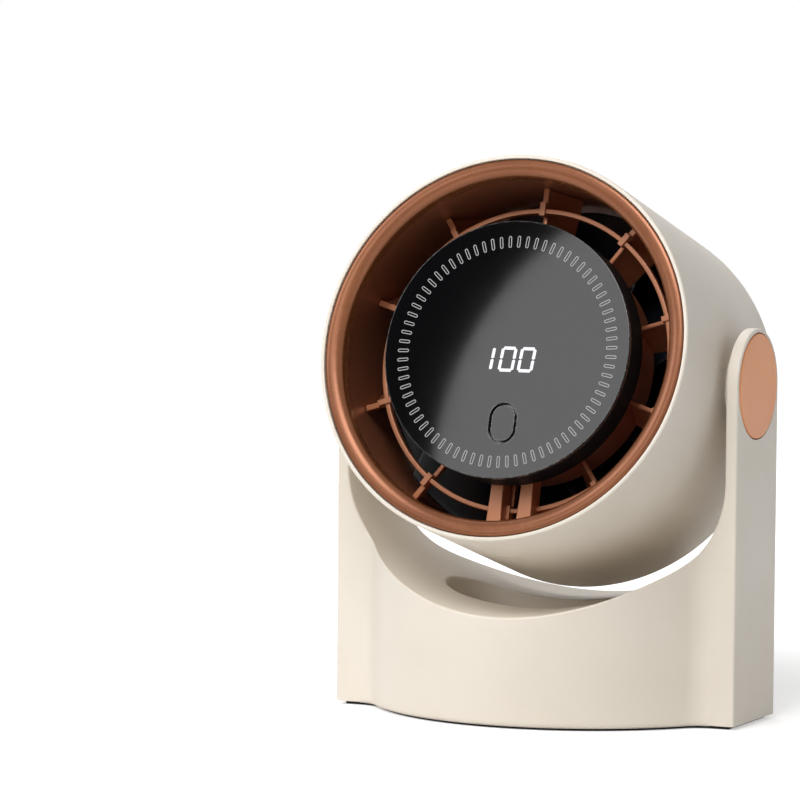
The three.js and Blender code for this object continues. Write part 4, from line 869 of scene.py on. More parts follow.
class FAN_OT_housing(bpy.types.Operator):
    """Build the stand's housing with its saddle, recess and round arms"""

    bl_idname = "fan.housing"
    bl_label = "Stand housing"

    def execute(self, context):
        scene = context.scene
        sizes = scene.fan_stand
        top = sizes.pivot_height + sizes.arm_half_depth + PAST
        body = extruded(plan_outline(sizes, 0), (0, 0, top - sizes.base_height))
        placed(body, Matrix.Translation((0, 0, sizes.base_height)))
        hollow = extruded(plan_outline(sizes, sizes.wall), (0, 0, sizes.pivot_height))
        hollow = combined(
            hollow,
            [saddle_tool(sizes, sizes.wall), pocket_tool(sizes, sizes.wall, sizes.pivot_height)],
        )
        tools = [
            saddle_tool(sizes, 0),
            arm_top_tool(sizes),
            pocket_tool(sizes, 0, sizes.pivot_height),
            hollow,
        ]
        half, within = sizes.width / 2, 0.01
        for side in (1, -1):
            seat = rod(sizes.cap_radius + sizes.cap_gap, sizes.cap_seat, half + PAST, 96)
            hole = rod(sizes.collar_radius, sizes.cap_seat - within, half, 48)
            tools += [placed(seat, pivot_place(scene, side)), placed(hole, pivot_place(scene, side))]
        play = 2 * sizes.socket_play
        slot = stadium(sizes.socket_width + play, sizes.socket_tall + play)
        slot = extruded(slot, (0, sizes.slot_depth + 4 * PAST, 0))
        slot_end = sizes.rear_bulge - sizes.slot_depth
        slot_side, slot_top, arm_depth = 0.008, 0.013, 0.005
        tools.append(placed(slot, Matrix.Translation((0, slot_end, sizes.socket_height))))
        housing = combined(body, tools)
        even_rim(housing, sizes)

        def finely_rounded(edge):
            middle = (edge.verts[0].co + edge.verts[1].co) / 2
            from_pivot = math.hypot(middle.y, middle.z - sizes.pivot_height)
            near_pivot = from_pivot < sizes.cap_radius + 2 * sizes.cap_gap
            beside_cap = near_pivot and abs(middle.x) > sizes.cap_seat - arm_depth
            near_slot = middle.z < slot_top and abs(middle.x) < slot_side
            beside_slot = near_slot and middle.y > slot_end
            at_foot = middle.z < sizes.base_height + 1e-5
            return beside_cap or beside_slot or at_foot

        soften(housing, FINE_EDGE, 2, chosen=finely_rounded)
        soften(housing, sizes.edge, 4, chosen=lambda edge: not finely_rounded(edge))
        finished(housing, "stand_housing", "cream_plastic", "stand", ["stand_shell"])
        return {"FINISHED"}


class FAN_OT_base(bpy.types.Operator):
    """Build the rubber pad and the charging socket"""

    bl_idname = "fan.base"
    bl_label = "Pad and socket"

    def execute(self, context):
        sizes = context.scene.fan_stand
        pad = extruded(plan_outline(sizes, sizes.pad_inset), (0, 0, sizes.base_height))
        soften(pad, PLAIN_EDGE, 2)
        finished(pad, "rubber_pad", "rubber", "stand", ["anti_slip_pad"])

        recessed = 0.0005
        inwards = (0, -sizes.socket_depth, 0)
        shell = extruded(stadium(sizes.socket_width, sizes.socket_tall, 16), inwards)
        walls = 2 * sizes.socket_wall
        inner = extruded(stadium(sizes.socket_width - walls, sizes.socket_tall - walls, 16), inwards)
        placed(inner, Matrix.Translation((0, PAST, 0)))
        shell = combined(shell, [inner])
        soften(shell, THIN_EDGE, 2)
        place = Matrix.Translation((0, sizes.rear_bulge - recessed, sizes.socket_height))
        placed(shell, place)
        finished(shell, "charging_socket", "nickel", "stand", ["usb_c_socket"])
        side, level = sizes.tongue_width / 2, sizes.tongue_thickness / 2
        root, tip = -0.0072, -0.001
        tongue = box((-side, root, -level), (side, tip, level))
        soften(tongue, width=0.0001)
        finished(placed(tongue, place), "socket_tongue", "black_plastic", "stand", ())
        pins = []
        half, plating, proud = 0.00013, 0.00004, 0.00001
        pin_root, pin_tip = -0.006, -0.0013
        for step in range(sizes.contacts):
            x = (step - (sizes.contacts - 1) / 2) * sizes.contact_pitch
            for z in (-level - proud, level + proud):
                low, high = (x - half, pin_root, z - plating), (x + half, pin_tip, z + plating)
                pins.append(box(low, high))
        pins = placed(gathered(pins), place)
        finished(pins, "socket_contacts", "contact_gold", "stand", (), even=False)
        return {"FINISHED"}


class FAN_OT_pivot_discs(bpy.types.Operator):
    """Build the copper disc over each pivot"""

    bl_idname = "fan.pivot_discs"
    bl_label = "Pivot discs"

    def execute(self, context):
        scene = context.scene
        sizes = scene.fan_stand
        face = sizes.width / 2 + sizes.cap_proud
        rim, thick = sizes.cap_radius, sizes.cap_thickness
        skirt = rim - sizes.cap_skirt
        foot = sizes.cap_seat + sizes.cap_gap
        for side, label in ((1, "right"), (-1, "left")):
            profile = [(0, face - thick), (skirt, face - thick), (skirt, foot), (rim, foot)]
            profile += arc_profile((rim - thick, face - thick), (thick, thick), 0, 90, 5)
            profile.append((0, face))
            disc = placed(spun(profile, 128), pivot_place(scene, side))
            node = f"{label}_pivot_cap"
            finished(disc, f"{label}_pivot_disc", "disc_copper_paint", "stand", [node])
        return {"FINISHED"}


# ---------------------------------------------------------------- drum


class FAN_OT_drum(bpy.types.Operator):
    """Build the drum with its pivot bosses and the moulded line under it"""

    bl_idname = "fan.drum"
    bl_label = "Drum"

    def execute(self, context):
        scene = context.scene
        sizes = scene.fan_drum
        place = drum_place(scene)
        wall = sizes.wall
        back = -sizes.tail_back
        corner = (sizes.tail_radius - sizes.tail_round, back + sizes.tail_round)
        opening = sizes.grille_radius + sizes.grille_gap
        inner_round = sizes.tail_round - wall
        rim = sizes.rim_forward
        inner_rim = sizes.rim_radius - sizes.rim_wall
        edge, inner_edge, back_edge = sizes.rim_edge, sizes.rim_inner_edge, sizes.opening_edge
        profile = [
            *arc_profile((sizes.rim_radius - edge, rim - edge), (edge, edge), 0, 90, 5),
            *arc_profile((inner_rim + inner_edge, rim - inner_edge), (inner_edge, inner_edge), 90, 180, 3),
            (inner_rim, rim - sizes.lip_seat),
            (sizes.rim_radius - wall, rim - sizes.lip_seat),
            *arc_profile(corner, (inner_round, inner_round), 0, -90, 6),
            (opening, back + wall),
            *arc_profile((opening + back_edge, back + back_edge), (back_edge, back_edge), 180, 270, 3),
            *arc_profile(corner, (sizes.tail_round, sizes.tail_round), -90, 0, 10),
        ]
        drum = spun(profile, 192)
        start, end = sizes.tail_radius - wall + sizes.boss_root, sizes.boss_face
        bore, outside, chamfer = sizes.bore_radius, sizes.boss_radius, sizes.boss_chamfer
        profile = [(bore, start), (outside, start), (outside, end - chamfer), (outside - chamfer, end)]
        profile.append((bore, end))
        bosses, bores = [], []
        for side in (1, -1):
            outwards = Matrix.Rotation(side * math.pi / 2, 4, "Z")
            bosses.append(placed(spun(profile, 64), outwards))
            bores.append(placed(rod(bore, start - 2 * wall, end + PAST, 64), outwards))
        drum = combined(drum, bores)
        whole = placed(gathered([drum, *bosses]), place)
        finished(whole, "drum_shell", "cream_plastic", "head", ["head_shell"])

        mark = extruded(stadium(sizes.mark_length, sizes.mark_width, 10), (0, sizes.mark_depth, 0))
        soften(mark, THIN_EDGE, 2)
        under = Matrix.Translation((0, -sizes.mark_forward, sizes.mark_depth - sizes.rim_radius))
        lie = under @ Matrix.Rotation(-math.pi / 2, 4, "X")
        finished(placed(mark, place @ lie), "drum_mark", "cream_plastic", "head", ())
        return {"FINISHED"}


def screw_turns():
    """The turns round the drum's axis that lead to the grille's four screws."""
    return [Matrix.Rotation(-math.radians(45 + 90 * step), 4, "Y") for step in range(4)]


class FAN_OT_mouth(bpy.types.Operator):
    """Build the copper lip and the duct behind it"""

    bl_idname = "fan.mouth"
    bl_label = "Lip and duct"

    def execute(self, context):
        scene = context.scene
        sizes = scene.fan_drum
        place = drum_place(scene)
        flange = sizes.rim_radius - sizes.rim_wall - sizes.lip_gap
        flange_back = sizes.rim_forward - sizes.lip_seat + sizes.lip_gap
        crest = flange - sizes.lip_crest
        top = sizes.lip_crown
        profile = [
            (sizes.lip_outer, sizes.lip_back), (sizes.lip_outer, flange_back), (flange, flange_back),
            *arc_profile((crest, top - sizes.lip_edge), (sizes.lip_crest, sizes.lip_edge), 0, 90, 8),
            *arc_profile(
                (crest, top - sizes.lip_round), (crest - sizes.lip_inner, sizes.lip_round), 90, 180, 16
            )[1:],
            (sizes.lip_inner, sizes.lip_back),
        ]
        lip = spun(profile, 192)
        soften(lip, width=0.0002, threshold=math.radians(60))
        finished(placed(lip, place), "mouth_lip", "lip_copper_paint", "head", ["front_lip"])

        inner = sizes.duct_radius
        outer = inner + sizes.duct_wall
        front, back = sizes.lip_back - sizes.lip_gap, -sizes.duct_back
        duct = spun([(outer, front), (inner, front), (inner, back), (outer, back)], 192)
        soften(duct, PLAIN_EDGE, 2)
        half, root = sizes.ear_half, inner + sizes.duct_wall / 4
        ears = []
        for turn in screw_turns():
            ear = box((sizes.screw_circle - half, sizes.ear_front, -half), (root, sizes.ear_back, half))
            bottom = -sizes.ear_front - SCREW_PLAY
            hole = rod(sizes.screw_shank + SCREW_PLAY, -sizes.ear_back - PAST, bottom, 24)
            ear = combined(ear, [placed(hole, Matrix.Translation((sizes.screw_circle, 0, 0)))])
            ears.append(placed(ear, turn))
        whole = placed(gathered([duct, *ears]), place)
        finished(whole, "duct_liner", "deep_copper_paint", "head", ["air_duct"])
        return {"FINISHED"}


def cross_screw(sizes, back):
    """A screw with a cross in its rounded head, the head's top on the rear plane."""
    head, shank = sizes.screw_head, sizes.screw_shank
    under, tip, point = back + sizes.screw_rise, back + sizes.screw_length, 0.0005
    round_width, round_height = 0.0006, 0.0007
    profile = [
        (0, back),
        *arc_profile((head - round_width, back + round_height), (round_width, round_height), -90, 0, 5),
        (head, under), (shank, under), (shank, tip - point), (shank - 0.8 * point, tip), (0, tip),
    ]
    reach, thin, depth = sizes.cross_half, 0.00028, 0.0009
    cross = []
    for turn in (0, math.pi / 2):
        slot = box((-reach, -back - depth, -thin), (reach, -back + PAST, thin))
        cross.append(placed(slot, Matrix.Rotation(turn, 4, "Y")))
    screw = combined(spun(profile, 40), cross)
    return soften(screw, width=0.00006, segments=1, threshold=math.radians(60))


class FAN_OT_rear_grille(bpy.types.Operator):
    """Build the slotted rear grille and its screws"""

    bl_idname = "fan.rear_grille"
    bl_label = "Rear grille"

    def execute(self, context):
        scene = context.scene
        sizes = scene.fan_drum
        place = drum_place(scene)
        back = -sizes.tail_back
        front = back + sizes.grille_thickness
        plain_border = 0.002
        within = sizes.inner_slot_from - plain_border
        between = (sizes.inner_slot_to + sizes.outer_slot_from) / 2
        radii = (0, within, between, sizes.grille_radius)
        profile = [(radius, front) for radius in radii] + [(radius, back) for radius in reversed(radii)]
        plate = spun(profile, 4 * sizes.outer_slots)
        rings = (
            (sizes.inner_slots, sizes.inner_slot_from, sizes.inner_slot_to),
            (sizes.outer_slots, sizes.outer_slot_from, sizes.outer_slot_to),
        )
        tools = []
        for number, near, far in rings:
            slot = extruded(stadium(far - near, sizes.slot_width, 8), (0, 3 * sizes.grille_thickness, 0))
            placed(slot, Matrix.Translation(((near + far) / 2, -front - sizes.grille_thickness, 0)))
            tools.append(repeated(slot, number))
        places = [turn @ Matrix.Translation((sizes.screw_circle, 0, 0)) for turn in screw_turns()]
        for spot in places:
            seat = rod(sizes.screw_head + SCREW_PLAY, back - PAST, back + sizes.screw_rise + SCREW_PLAY, 32)
            hole = rod(sizes.screw_shank + SCREW_PLAY, back, front + PAST, 24)
            tools += [placed(seat, spot), placed(hole, spot)]
        plate = combined(plate, tools)
        soften(plate, FINE_EDGE, 2)
        plate = placed(plate, place)
        finished(plate, "rear_grille_plate", "cream_plastic", "head", ["rear_grille"])
        for number, spot in enumerate(places, 1):
            screw = placed(cross_screw(sizes, back), place @ spot)
            finished(screw, f"grille_fixing_{number}", "steel", "head", [f"grille_screw_{number}"])
        return {"FINISHED"}


# ---------------------------------------------------------------- airway


def blade_row(number, root, tip, front, back, thickness, turn, across=10, along=16):
    """Curved blades, each grown from a grid between two radii."""
    bm = bmesh.new()
    bmesh.ops.create_grid(bm, x_segments=across, y_segments=along, size=0.5)
    for vert in bm.verts:
        share, way = vert.co.x + 0.5, vert.co.y + 0.5
        radius = root + (tip - root) * share
        place = turn(radius, way) - thickness / 2 / radius
        forward = front + (back - front) * way
        vert.co = (radius * math.cos(place), -forward, radius * math.sin(place))
    bmesh.ops.recalc_face_normals(bm, faces=bm.faces)
    grown = bmesh.ops.extrude_face_region(bm, geom=bm.faces[:])
    for vert in (item for item in grown["geom"] if isinstance(item, bmesh.types.BMVert)):
        radius = math.hypot(vert.co.x, vert.co.z)
        vert.co = Matrix.Rotation(-thickness / radius, 3, "Y") @ vert.co
    bmesh.ops.recalc_face_normals(bm, faces=bm.faces)
    soften(bm, thickness * 0.32, 2, threshold=math.radians(50))
    return repeated(bm, number)


class FAN_OT_guard(bpy.types.Operator):
    """Build the guard's ring, ribs and the two struts"""

    bl_idname = "fan.guard"
    bl_label = "Guard"

    def execute(self, context):
        scene = context.scene
        sizes = scene.fan_airway
        half = sizes.ring_width / 2
        inner, outer = sizes.ring_radius - half, sizes.ring_radius + half
        front, back = sizes.ring_front, sizes.ring_back
        ring = spun([(inner, front), (outer, front), (outer, back), (inner, back)], 160)
        soften(ring, PLAIN_EDGE, 2)
        side = sizes.rib_width / 2
        low = (inner - sizes.rib_overhang, -front - sizes.rib_proud, -side)
        stub = box(low, (outer + sizes.rib_reach, -back, side))
        web_side = 0.98 * side
        web = box((outer, -back - sizes.rib_web, -web_side), (sizes.reach, -back + 1e-5, web_side))
        rib = combined(stub, [web], "UNION")
        soften(rib, FINE_EDGE, 2)
        placed(rib, Matrix.Rotation(-math.pi / 2, 4, "Y"))
        struts = []
        clearance = 0.0003
        hub = sizes.hub_radius + clearance
        near, far = sizes.strut_width / 2, sizes.strut_width / 2 + sizes.strut_flare
        for middle in (sizes.left_strut, sizes.right_strut):
            strut = bmesh.new()
            low = -math.sqrt(sizes.reach**2 - (abs(middle) + far) ** 2)
            last = start = strut.verts.new((middle - near, 0, -hub))
            for x, z in ((middle + near, -hub), (middle + far, low), (middle - far, low)):
                last = carry_line(strut, last, (x, 0, z))
            strut.edges.new((last, start))
            close_outline(strut)
            extruded(strut, (0, back - sizes.strut_front, 0))
            soften(strut, SOFT_EDGE, 3)
            struts.append(placed(strut, Matrix.Translation((0, -back, 0))))
        whole = gathered([ring, repeated(rib, sizes.ribs), *struts])
        placed(whole, drum_place(scene))
        finished(whole, "mouth_guard", "guard_copper_paint", "head", ["front_guard"])
        return {"FINISHED"}


class FAN_OT_guide_vanes(bpy.types.Operator):
    """Build the carrier and its curved guide vanes"""

    bl_idname = "fan.guide_vanes"
    bl_label = "Guide vanes"

    def execute(self, context):
        scene = context.scene
        sizes = scene.fan_airway
        wall = sizes.hub_wall
        outside, inside, hole = sizes.hub_radius, sizes.hub_radius - wall, sizes.hub_hole
        front, back = sizes.hub_front, sizes.hub_back
        behind = front - sizes.hub_plate
        profile = [(hole, front), (outside, front), (outside, back)]
        profile += [(inside, back), (inside, behind), (hole, behind)]
        hub = spun(profile, 128)
        soften(hub, SOFT_EDGE, 2)

        def vane_turn(radius, way):
            return math.pi / 2 + sizes.vane_twist * way**1.5

        vanes = blade_row(
            sizes.ribs, outside - wall / 2, sizes.reach, sizes.vane_front, sizes.vane_back,
            sizes.vane_thickness, vane_turn,
        )
        whole = placed(gathered([hub, vanes]), drum_place(scene))
        finished(whole, "vane_carrier", "deep_copper_paint", "head", ["guide_vanes"])
        return {"FINISHED"}


class FAN_OT_fan_wheel(bpy.types.Operator):
    """Build the impeller with its domed hub and swept blades"""

    bl_idname = "fan.fan_wheel"
    bl_label = "Impeller"

    def execute(self, context):
        scene = context.scene
        sizes = scene.fan_airway
        bore = sizes.shaft_bore
        inner = sizes.wheel_hub - sizes.wheel_wall
        start, depth = sizes.dome_start, sizes.dome_depth
        hollow_depth = depth - sizes.wheel_wall
        bore_turn = math.degrees(math.acos(bore / sizes.wheel_hub))
        boss_turn = math.degrees(math.acos(sizes.boss_radius / inner))
        profile = [
            (inner, sizes.wheel_front), (sizes.wheel_hub, sizes.wheel_front),
            *arc_profile((0, start), (sizes.wheel_hub, depth), 0, -bore_turn, 18),
            (bore, sizes.boss_end), (sizes.boss_radius, sizes.boss_end),
            *arc_profile((0, start), (inner, hollow_depth), -boss_turn, 0, 12),
        ]
        hub = spun(profile, 128)
        foremost = 1e-5 - sizes.wheel_front
        soften(hub, SOFT_EDGE, 2, chosen=lambda edge: all(vert.co.y < foremost for vert in edge.verts))
        span = sizes.blade_tip - sizes.wheel_hub

        def blade_turn(radius, way):
            return sizes.blade_twist * way + sizes.blade_sweep * (radius - sizes.wheel_hub) / span

        root = sizes.wheel_hub - sizes.wheel_wall / 2
        blades = blade_row(
            sizes.blades, root, sizes.blade_tip, sizes.blade_front, sizes.blade_back,
            sizes.blade_thickness, blade_turn, across=14, along=20,
        )
        whole = placed(gathered([hub, blades]), drum_place(scene))
        finished(whole, "fan_wheel", "blade_plastic", "impeller_assembly", ["impeller"])
        return {"FINISHED"}


# ---------------------------------------------------------------- display


SHOWN_NUMBER = "100"
SEGMENTS = {
    "1": ("top right", "bottom right"),
    "0": ("top", "top right", "bottom right", "bottom", "bottom left", "top left"),
}


def lit_segment(name, sizes):
    """One pointed segment of a figure that is centred on the origin, facing -Y."""
    stroke = sizes.digit_stroke
    wide = sizes.digit_width / 2 - stroke / 2
    tall = sizes.digit_height / 2 - stroke / 2
    flat = name in ("top", "bottom")
    span = (2 * wide if flat else tall) - sizes.digit_gap
    bm = bmesh.new()
    bmesh.ops.create_circle(bm, cap_ends=True, segments=6, radius=stroke / math.sqrt(3))
    rise = (span - stroke) / 2 - 0.04 * stroke
    for vert in bm.verts:
        bmesh.ops.translate(bm, verts=[vert], vec=(0, math.copysign(rise, vert.co.y), 0))
    if flat:
        bmesh.ops.rotate(bm, verts=bm.verts, matrix=Matrix.Rotation(math.pi / 2, 3, "Z"))
    x = 0 if flat else wide * (1 if "right" in name else -1)
    y = tall * (1 if name == "top" else -1) if flat else tall / 2 * (1 if "top" in name else -1)
    bmesh.ops.translate(bm, verts=bm.verts, vec=(x, y, 0))
    bmesh.ops.rotate(bm, verts=bm.verts, matrix=Matrix.Rotation(math.pi / 2, 3, "X"))
    return extruded(bm, (0, -sizes.print_height, 0))


class FAN_OT_display(bpy.types.Operator):
    """Build the display's cup, glass, ring of marks and lit figures"""

    bl_idname = "fan.display"
    bl_label = "Display"

    def execute(self, context):
        scene = context.scene
        sizes = scene.fan_display
        place = drum_place(scene)
        radius, inner = sizes.radius, sizes.radius - sizes.wall
        back, top = sizes.back, sizes.front - sizes.glass - sizes.gap
        floor = back + sizes.cup_floor
        cup = spun([(0, back), (radius, back), (radius, top), (inner, top), (inner, floor), (0, floor)], 160)
        soften(cup, SOFT_EDGE, 3)
        cup = placed(cup, place)
        finished(cup, "display_cup", "black_plastic", "head", ["display_housing"])

        glass = rod(radius, sizes.front - sizes.glass, sizes.front, 192)
        foremost = 1e-6 - sizes.front
        soften(glass, sizes.chamfer, 3, chosen=lambda edge: all(vert.co.y < foremost for vert in edge.verts))
        grooves = 2 * sizes.groove
        hole = stadium(sizes.button_width + grooves, sizes.button_height + grooves, 24)
        hole = extruded(hole, (0, 3 * sizes.glass, 0))
        placed(hole, Matrix.Translation((sizes.button_right, -sizes.front - sizes.glass, -sizes.button_drop)))
        glass = combined(glass, [hole])
        border = 0.002
        inside = radius - border

        def beside_hole(edge):
            return all(math.hypot(vert.co.x, vert.co.z) < inside for vert in edge.verts)

        soften(glass, width=0.00008, chosen=beside_hole)
        glass = placed(glass, place)
        finished(glass, "display_face", "display_glass", "head", ["display_lens"])

        wide, tall, lines = sizes.tick_width, sizes.tick_outer - sizes.tick_inner, 2 * sizes.line
        mark = extruded(stadium(wide, tall, 6), (0, -sizes.print_height, 0))
        void = extruded(stadium(wide - lines, tall - lines, 6), (0, -4 * sizes.print_height, 0))
        placed(void, Matrix.Translation((0, 2 * sizes.print_height, 0)))
        mark = combined(mark, [void])
        placed(mark, Matrix.Translation((0, -sizes.front, (sizes.tick_inner + sizes.tick_outer) / 2)))
        centred = Matrix.Translation((sizes.mark_right, 0, sizes.mark_up))
        spread = centred @ Matrix.Rotation(-sizes.mark_turn, 4, "Y")
        marks = placed(repeated(mark, sizes.ticks), place @ spread)
        finished(marks, "ring_of_marks", "printed_mark", "head", (), even=False)

        lean = Matrix()
        lean[0][2] = math.tan(sizes.digit_slant)
        figures = []
        for at, figure in enumerate(SHOWN_NUMBER):
            shift = (at - 1) * sizes.digit_pitch - (sizes.one_shift if figure == "1" else 0)
            for name in SEGMENTS[figure]:
                figures.append(placed(lit_segment(name, sizes), Matrix.Translation((shift, 0, 0)) @ lean))
        row = Matrix.Translation((sizes.digit_right, -sizes.front, sizes.digit_up))
        figures = placed(gathered(figures), place @ row)
        finished(figures, "lit_figures", "lit_figure", "head", (), even=False)
        return {"FINISHED"}


class FAN_OT_power_button(bpy.types.Operator):
    """Build the oval power button"""

    bl_idname = "fan.power_button"
    bl_label = "Power button"

    def execute(self, context):
        scene = context.scene
        sizes = scene.fan_display
        wide, tall, rear = sizes.button_width, sizes.button_height, sizes.flange_back
        face = extruded(stadium(wide, tall, 24), (0, sizes.front - rear, 0))
        soften(face, width=0.0001)
        placed(face, Matrix.Translation((0, -sizes.front, 0)))
        behind, edges = sizes.front - sizes.glass - sizes.gap, 2 * sizes.flange
        flange = extruded(stadium(wide + edges, tall + edges, 24), (0, behind - rear, 0))
        placed(flange, Matrix.Translation((0, -behind, 0)))
        spot = Matrix.Translation((sizes.button_right, 0, -sizes.button_drop))
        whole = placed(gathered([face, flange]), drum_place(scene) @ spot)
        finished(whole, "oval_button", "display_glass", "button", ["power_button"])
        return {"FINISHED"}


# ---------------------------------------------------------------- carried-over nodes


# Slots whose finish has another name here; the others share it.
CARRIED_FINISHES = {
    "copper_finish": "disc_copper_paint",
    "dark_copper_finish": "deep_copper_paint",
    "black_gloss": "display_glass",
}


class FAN_OT_carried_nodes(bpy.types.Operator):
    """Give the CAD nodes that stay their finishes"""

    bl_idname = "fan.carried_nodes"
    bl_label = "Inner pieces"

    def execute(self, context):
        for part in frame["record"]["subparts"]:
            node = frame["nodes"][part["node"]]
            node.data.materials.clear()
            finish = CARRIED_FINISHES.get(part["material_slot"], part["material_slot"])
            node.data.materials.append(bpy.data.materials[FINISH_PREFIX + finish])
        return {"FINISHED"}


# ---------------------------------------------------------------- stage


CAMERA_PLACE = (0.65170, -1.56411, 0.22884)
CAMERA_AIM = (-0.41213, 0.90821, -0.07276)
CAMERA_ROLL = math.radians(0.445)
CAMERA_LENS = 226.097  # millimetres, before a sensor of 36
MIRRORED_VIEW = (-0.39320, -0.81463, 0.42634)  # where the camera looks by way of the display
CARD_DISTANCE = 1.15
CARD_WIDTH = 0.34
FLOOR_RADIUS = 12.0
SKY_LIGHT = 0.1
# Name, place, what it is aimed at (None is the display), width in metres and power in watts.
LAMPS = (
    ("key_lamp", (-0.272, -0.937, 0.514), None, 0.34, 0.88),
    ("front_lamp", (0.060, -0.917, 1.020), (0, 0, 0.1), 0.7, 9.8),
    ("left_lamp", (-0.862, -0.724, 0.750), (0, 0, 0.1), 0.6, 3.4),
    ("right_lamp", (1.200, 0.210, 0.550), (0, 0, 0.1), 0.6, 0.9),
    ("back_lamp", (-0.500, 0.500, 1.070), (0, 0, 0.1), 0.9, 3.8),
)


def area_lamp(name, place, target, width, power):
    """A soft round lamp aimed at a point, unseen by the camera."""
    data = bpy.data.lights.new(name, "AREA")
    data.shape = "DISK"
    data.size = width
    data.energy = power
    lamp = bpy.data.objects.new(name, data)
    aim = (Vector(target) - Vector(place)).normalized()
    lamp.matrix_world = Matrix.Translation(place) @ aim.to_track_quat("-Z", "Y").to_matrix().to_4x4()
    lamp.visible_camera = False
    bpy.context.scene.collection.objects.link(lamp)


def dark_card(display):
    """A black card behind the key lamp, seen only in reflections, that keeps the display dark."""
    facing = Vector(MIRRORED_VIEW)
    card = bmesh.new()
    bmesh.ops.create_grid(card, x_segments=1, y_segments=1, size=CARD_WIDTH / 2)
    turn = facing.to_track_quat("Z", "Y").to_matrix().to_4x4()
    placed(card, Matrix.Translation(display + facing * CARD_DISTANCE) @ turn)
    card = plain_object(card, "dark_card")
    material = bpy.data.materials.new("dark_card")
    material.use_nodes = True
    shader = material.node_tree.nodes["Principled BSDF"]
    shader.inputs["Base Color"].default_value = (0, 0, 0, 1)
    shader.inputs["Specular IOR Level"].default_value = 0
    card.data.materials.append(material)
    card.visible_camera = False
    card.visible_diffuse = False
    card.visible_transmission = False
    card.visible_shadow = False


def studio_world(strength):
    """An even grey-white sky that looks white to the camera and in reflections."""
    world = bpy.data.worlds.new("studio")
    world.use_nodes = True
    tree = world.node_tree
    tree.nodes.clear()
    path = add_node(tree, "ShaderNodeLightPath")
    seen = add_node(tree, "ShaderNodeMath", operation="ADD")
    any_seen = add_node(tree, "ShaderNodeMath", operation="ADD", use_clamp=True)
    level = add_node(tree, "ShaderNodeMapRange", inputs={"To Min": strength, "To Max": 1.0})
    sky = add_node(tree, "ShaderNodeBackground", inputs={"Color": (1, 1, 1, 1)})
    output = add_node(tree, "ShaderNodeOutputWorld")
    link = tree.links.new
    link(path.outputs["Is Camera Ray"], seen.inputs[0])
    link(path.outputs["Is Glossy Ray"], seen.inputs[1])
    link(seen.outputs[0], any_seen.inputs[0])
    link(path.outputs["Is Transmission Ray"], any_seen.inputs[1])
    link(any_seen.outputs[0], level.inputs["Value"])
    link(level.outputs["Result"], sky.inputs["Strength"])
    link(sky.outputs["Background"], output.inputs["Surface"])
    bpy.context.scene.world = world


def floor_finish(base):
    """A pale floor that keeps the object's shadow and fades to white further out."""
    material = bpy.data.materials.new("studio_floor")
    material.use_nodes = True
    tree = material.node_tree
    tree.nodes.clear()
    place = add_node(tree, "ShaderNodeTexCoord")
    reach = add_node(tree, "ShaderNodeVectorMath", operation="LENGTH")
    fade = add_node(
        tree,
        "ShaderNodeMapRange",
        interpolation_type="SMOOTHSTEP",
        inputs={"From Min": 0.1, "From Max": 0.45, "To Min": 0.45, "To Max": 1.0},
    )
    path = add_node(tree, "ShaderNodeLightPath")
    seen = add_node(tree, "ShaderNodeMath", operation="ADD")
    any_seen = add_node(tree, "ShaderNodeMath", operation="ADD", use_clamp=True)
    share = add_node(tree, "ShaderNodeMath", operation="MULTIPLY")
    matt = add_node(tree, "ShaderNodeBsdfDiffuse", inputs={"Color": opaque(base)})
    white = add_node(tree, "ShaderNodeEmission", inputs={"Color": (1, 1, 1, 1)})
    both = add_node(tree, "ShaderNodeAddShader")
    output = add_node(tree, "ShaderNodeOutputMaterial")
    link = tree.links.new
    link(place.outputs["Object"], reach.inputs[0])
    link(reach.outputs["Value"], fade.inputs["Value"])
    link(path.outputs["Is Camera Ray"], seen.inputs[0])
    link(path.outputs["Is Glossy Ray"], seen.inputs[1])
    link(seen.outputs[0], any_seen.inputs[0])
    link(path.outputs["Is Transmission Ray"], any_seen.inputs[1])
    link(any_seen.outputs[0], share.inputs[0])
    link(fade.outputs["Result"], share.inputs[1])
    link(share.outputs[0], white.inputs["Strength"])
    link(matt.outputs["BSDF"], both.inputs[0])
    link(white.outputs["Emission"], both.inputs[1])
    link(both.outputs["Shader"], output.inputs["Surface"])
    return material


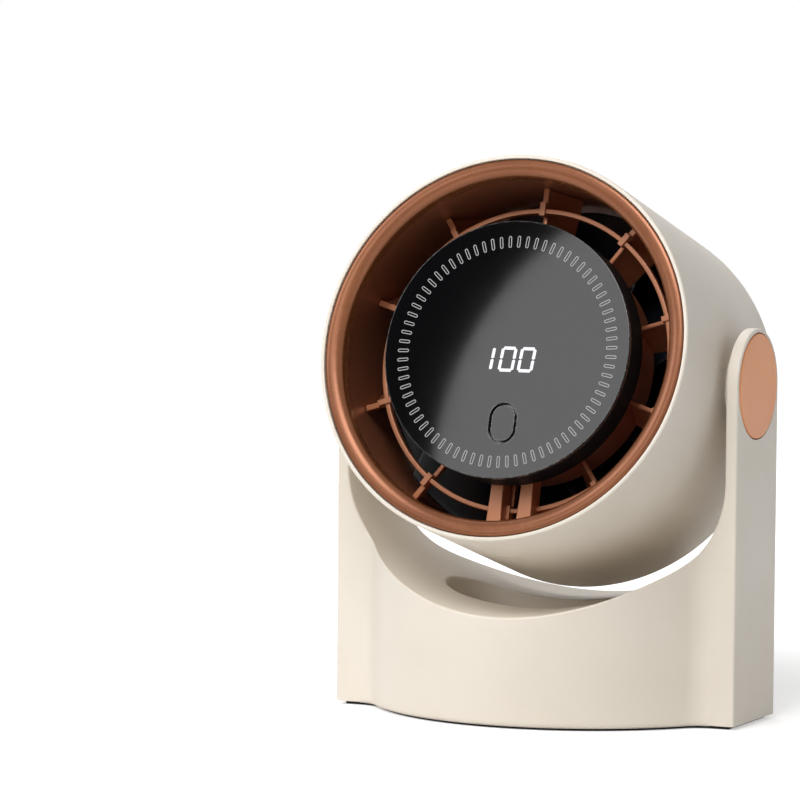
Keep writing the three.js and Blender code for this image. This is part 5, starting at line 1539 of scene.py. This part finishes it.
class FAN_OT_stage(bpy.types.Operator):
    """Set the camera, the lamps, the sky and the floor"""

    bl_idname = "fan.stage"
    bl_label = "Stage"

    def execute(self, context):
        scene = context.scene
        data = bpy.data.cameras.new("photo_view")
        data.sensor_width = 36.0
        data.lens = CAMERA_LENS
        data.clip_start = 0.05
        data.clip_end = 50.0
        camera = bpy.data.objects.new("photo_view", data)
        scene.collection.objects.link(camera)
        look = Vector(CAMERA_AIM).normalized()
        level = look.cross(Vector((0, 0, 1))).normalized()
        turn = Matrix((level, level.cross(look), -look)).transposed().to_4x4()
        roll = Matrix.Rotation(CAMERA_ROLL, 4, -look)
        camera.matrix_world = Matrix.Translation(CAMERA_PLACE) @ roll @ turn
        scene.camera = camera

        floor = bmesh.new()
        bmesh.ops.create_circle(floor, cap_ends=True, segments=96, radius=FLOOR_RADIUS)
        floor = plain_object(floor, "studio_floor")
        floor.data.materials.append(floor_finish(scene.fan_colours.floor))

        display = drum_place(scene) @ Vector((0, -scene.fan_display.front, 0))
        for name, place, target, width, power in LAMPS:
            area_lamp(name, place, target or display, width, power)
        dark_card(display)
        studio_world(SKY_LIGHT)
        scene.view_settings.view_transform = "Standard"
        return {"FINISHED"}


# ---------------------------------------------------------------- panel and running


BUILD_STEPS = (
    FAN_OT_finishes,
    FAN_OT_carried_nodes,
    FAN_OT_housing,
    FAN_OT_base,
    FAN_OT_pivot_discs,
    FAN_OT_drum,
    FAN_OT_mouth,
    FAN_OT_guard,
    FAN_OT_guide_vanes,
    FAN_OT_fan_wheel,
    FAN_OT_rear_grille,
    FAN_OT_display,
    FAN_OT_power_button,
    FAN_OT_stage,
)


class FAN_PT_pieces(bpy.types.Panel):
    """Lists the pieces of the fan in the order they are built"""

    bl_idname = "FAN_PT_pieces"
    bl_label = "Air circulator fan"
    bl_space_type = "VIEW_3D"
    bl_region_type = "UI"
    bl_category = "Fan"

    def draw(self, context):
        for step in BUILD_STEPS:
            self.layout.operator(step.bl_idname, text=step.bl_label)


CLASSES = (*SIZE_GROUPS.values(), *BUILD_STEPS, FAN_PT_pieces)


def register():
    for cls in CLASSES:
        bpy.utils.register_class(cls)
    for name, group in SIZE_GROUPS.items():
        setattr(bpy.types.Scene, name, PointerProperty(type=group))


def unregister():
    for name in SIZE_GROUPS:
        delattr(bpy.types.Scene, name)
    for cls in reversed(CLASSES):
        bpy.utils.unregister_class(cls)


def main():
    register()
    bpy.ops.fan.finishes()
    bpy.ops.fan.carried_nodes()
    bpy.ops.fan.housing()
    bpy.ops.fan.base()
    bpy.ops.fan.pivot_discs()
    bpy.ops.fan.drum()
    bpy.ops.fan.mouth()
    bpy.ops.fan.guard()
    bpy.ops.fan.guide_vanes()
    bpy.ops.fan.fan_wheel()
    bpy.ops.fan.rear_grille()
    bpy.ops.fan.display()
    bpy.ops.fan.power_button()
    bpy.ops.fan.stage()


if __name__ == "__main__":
    main()
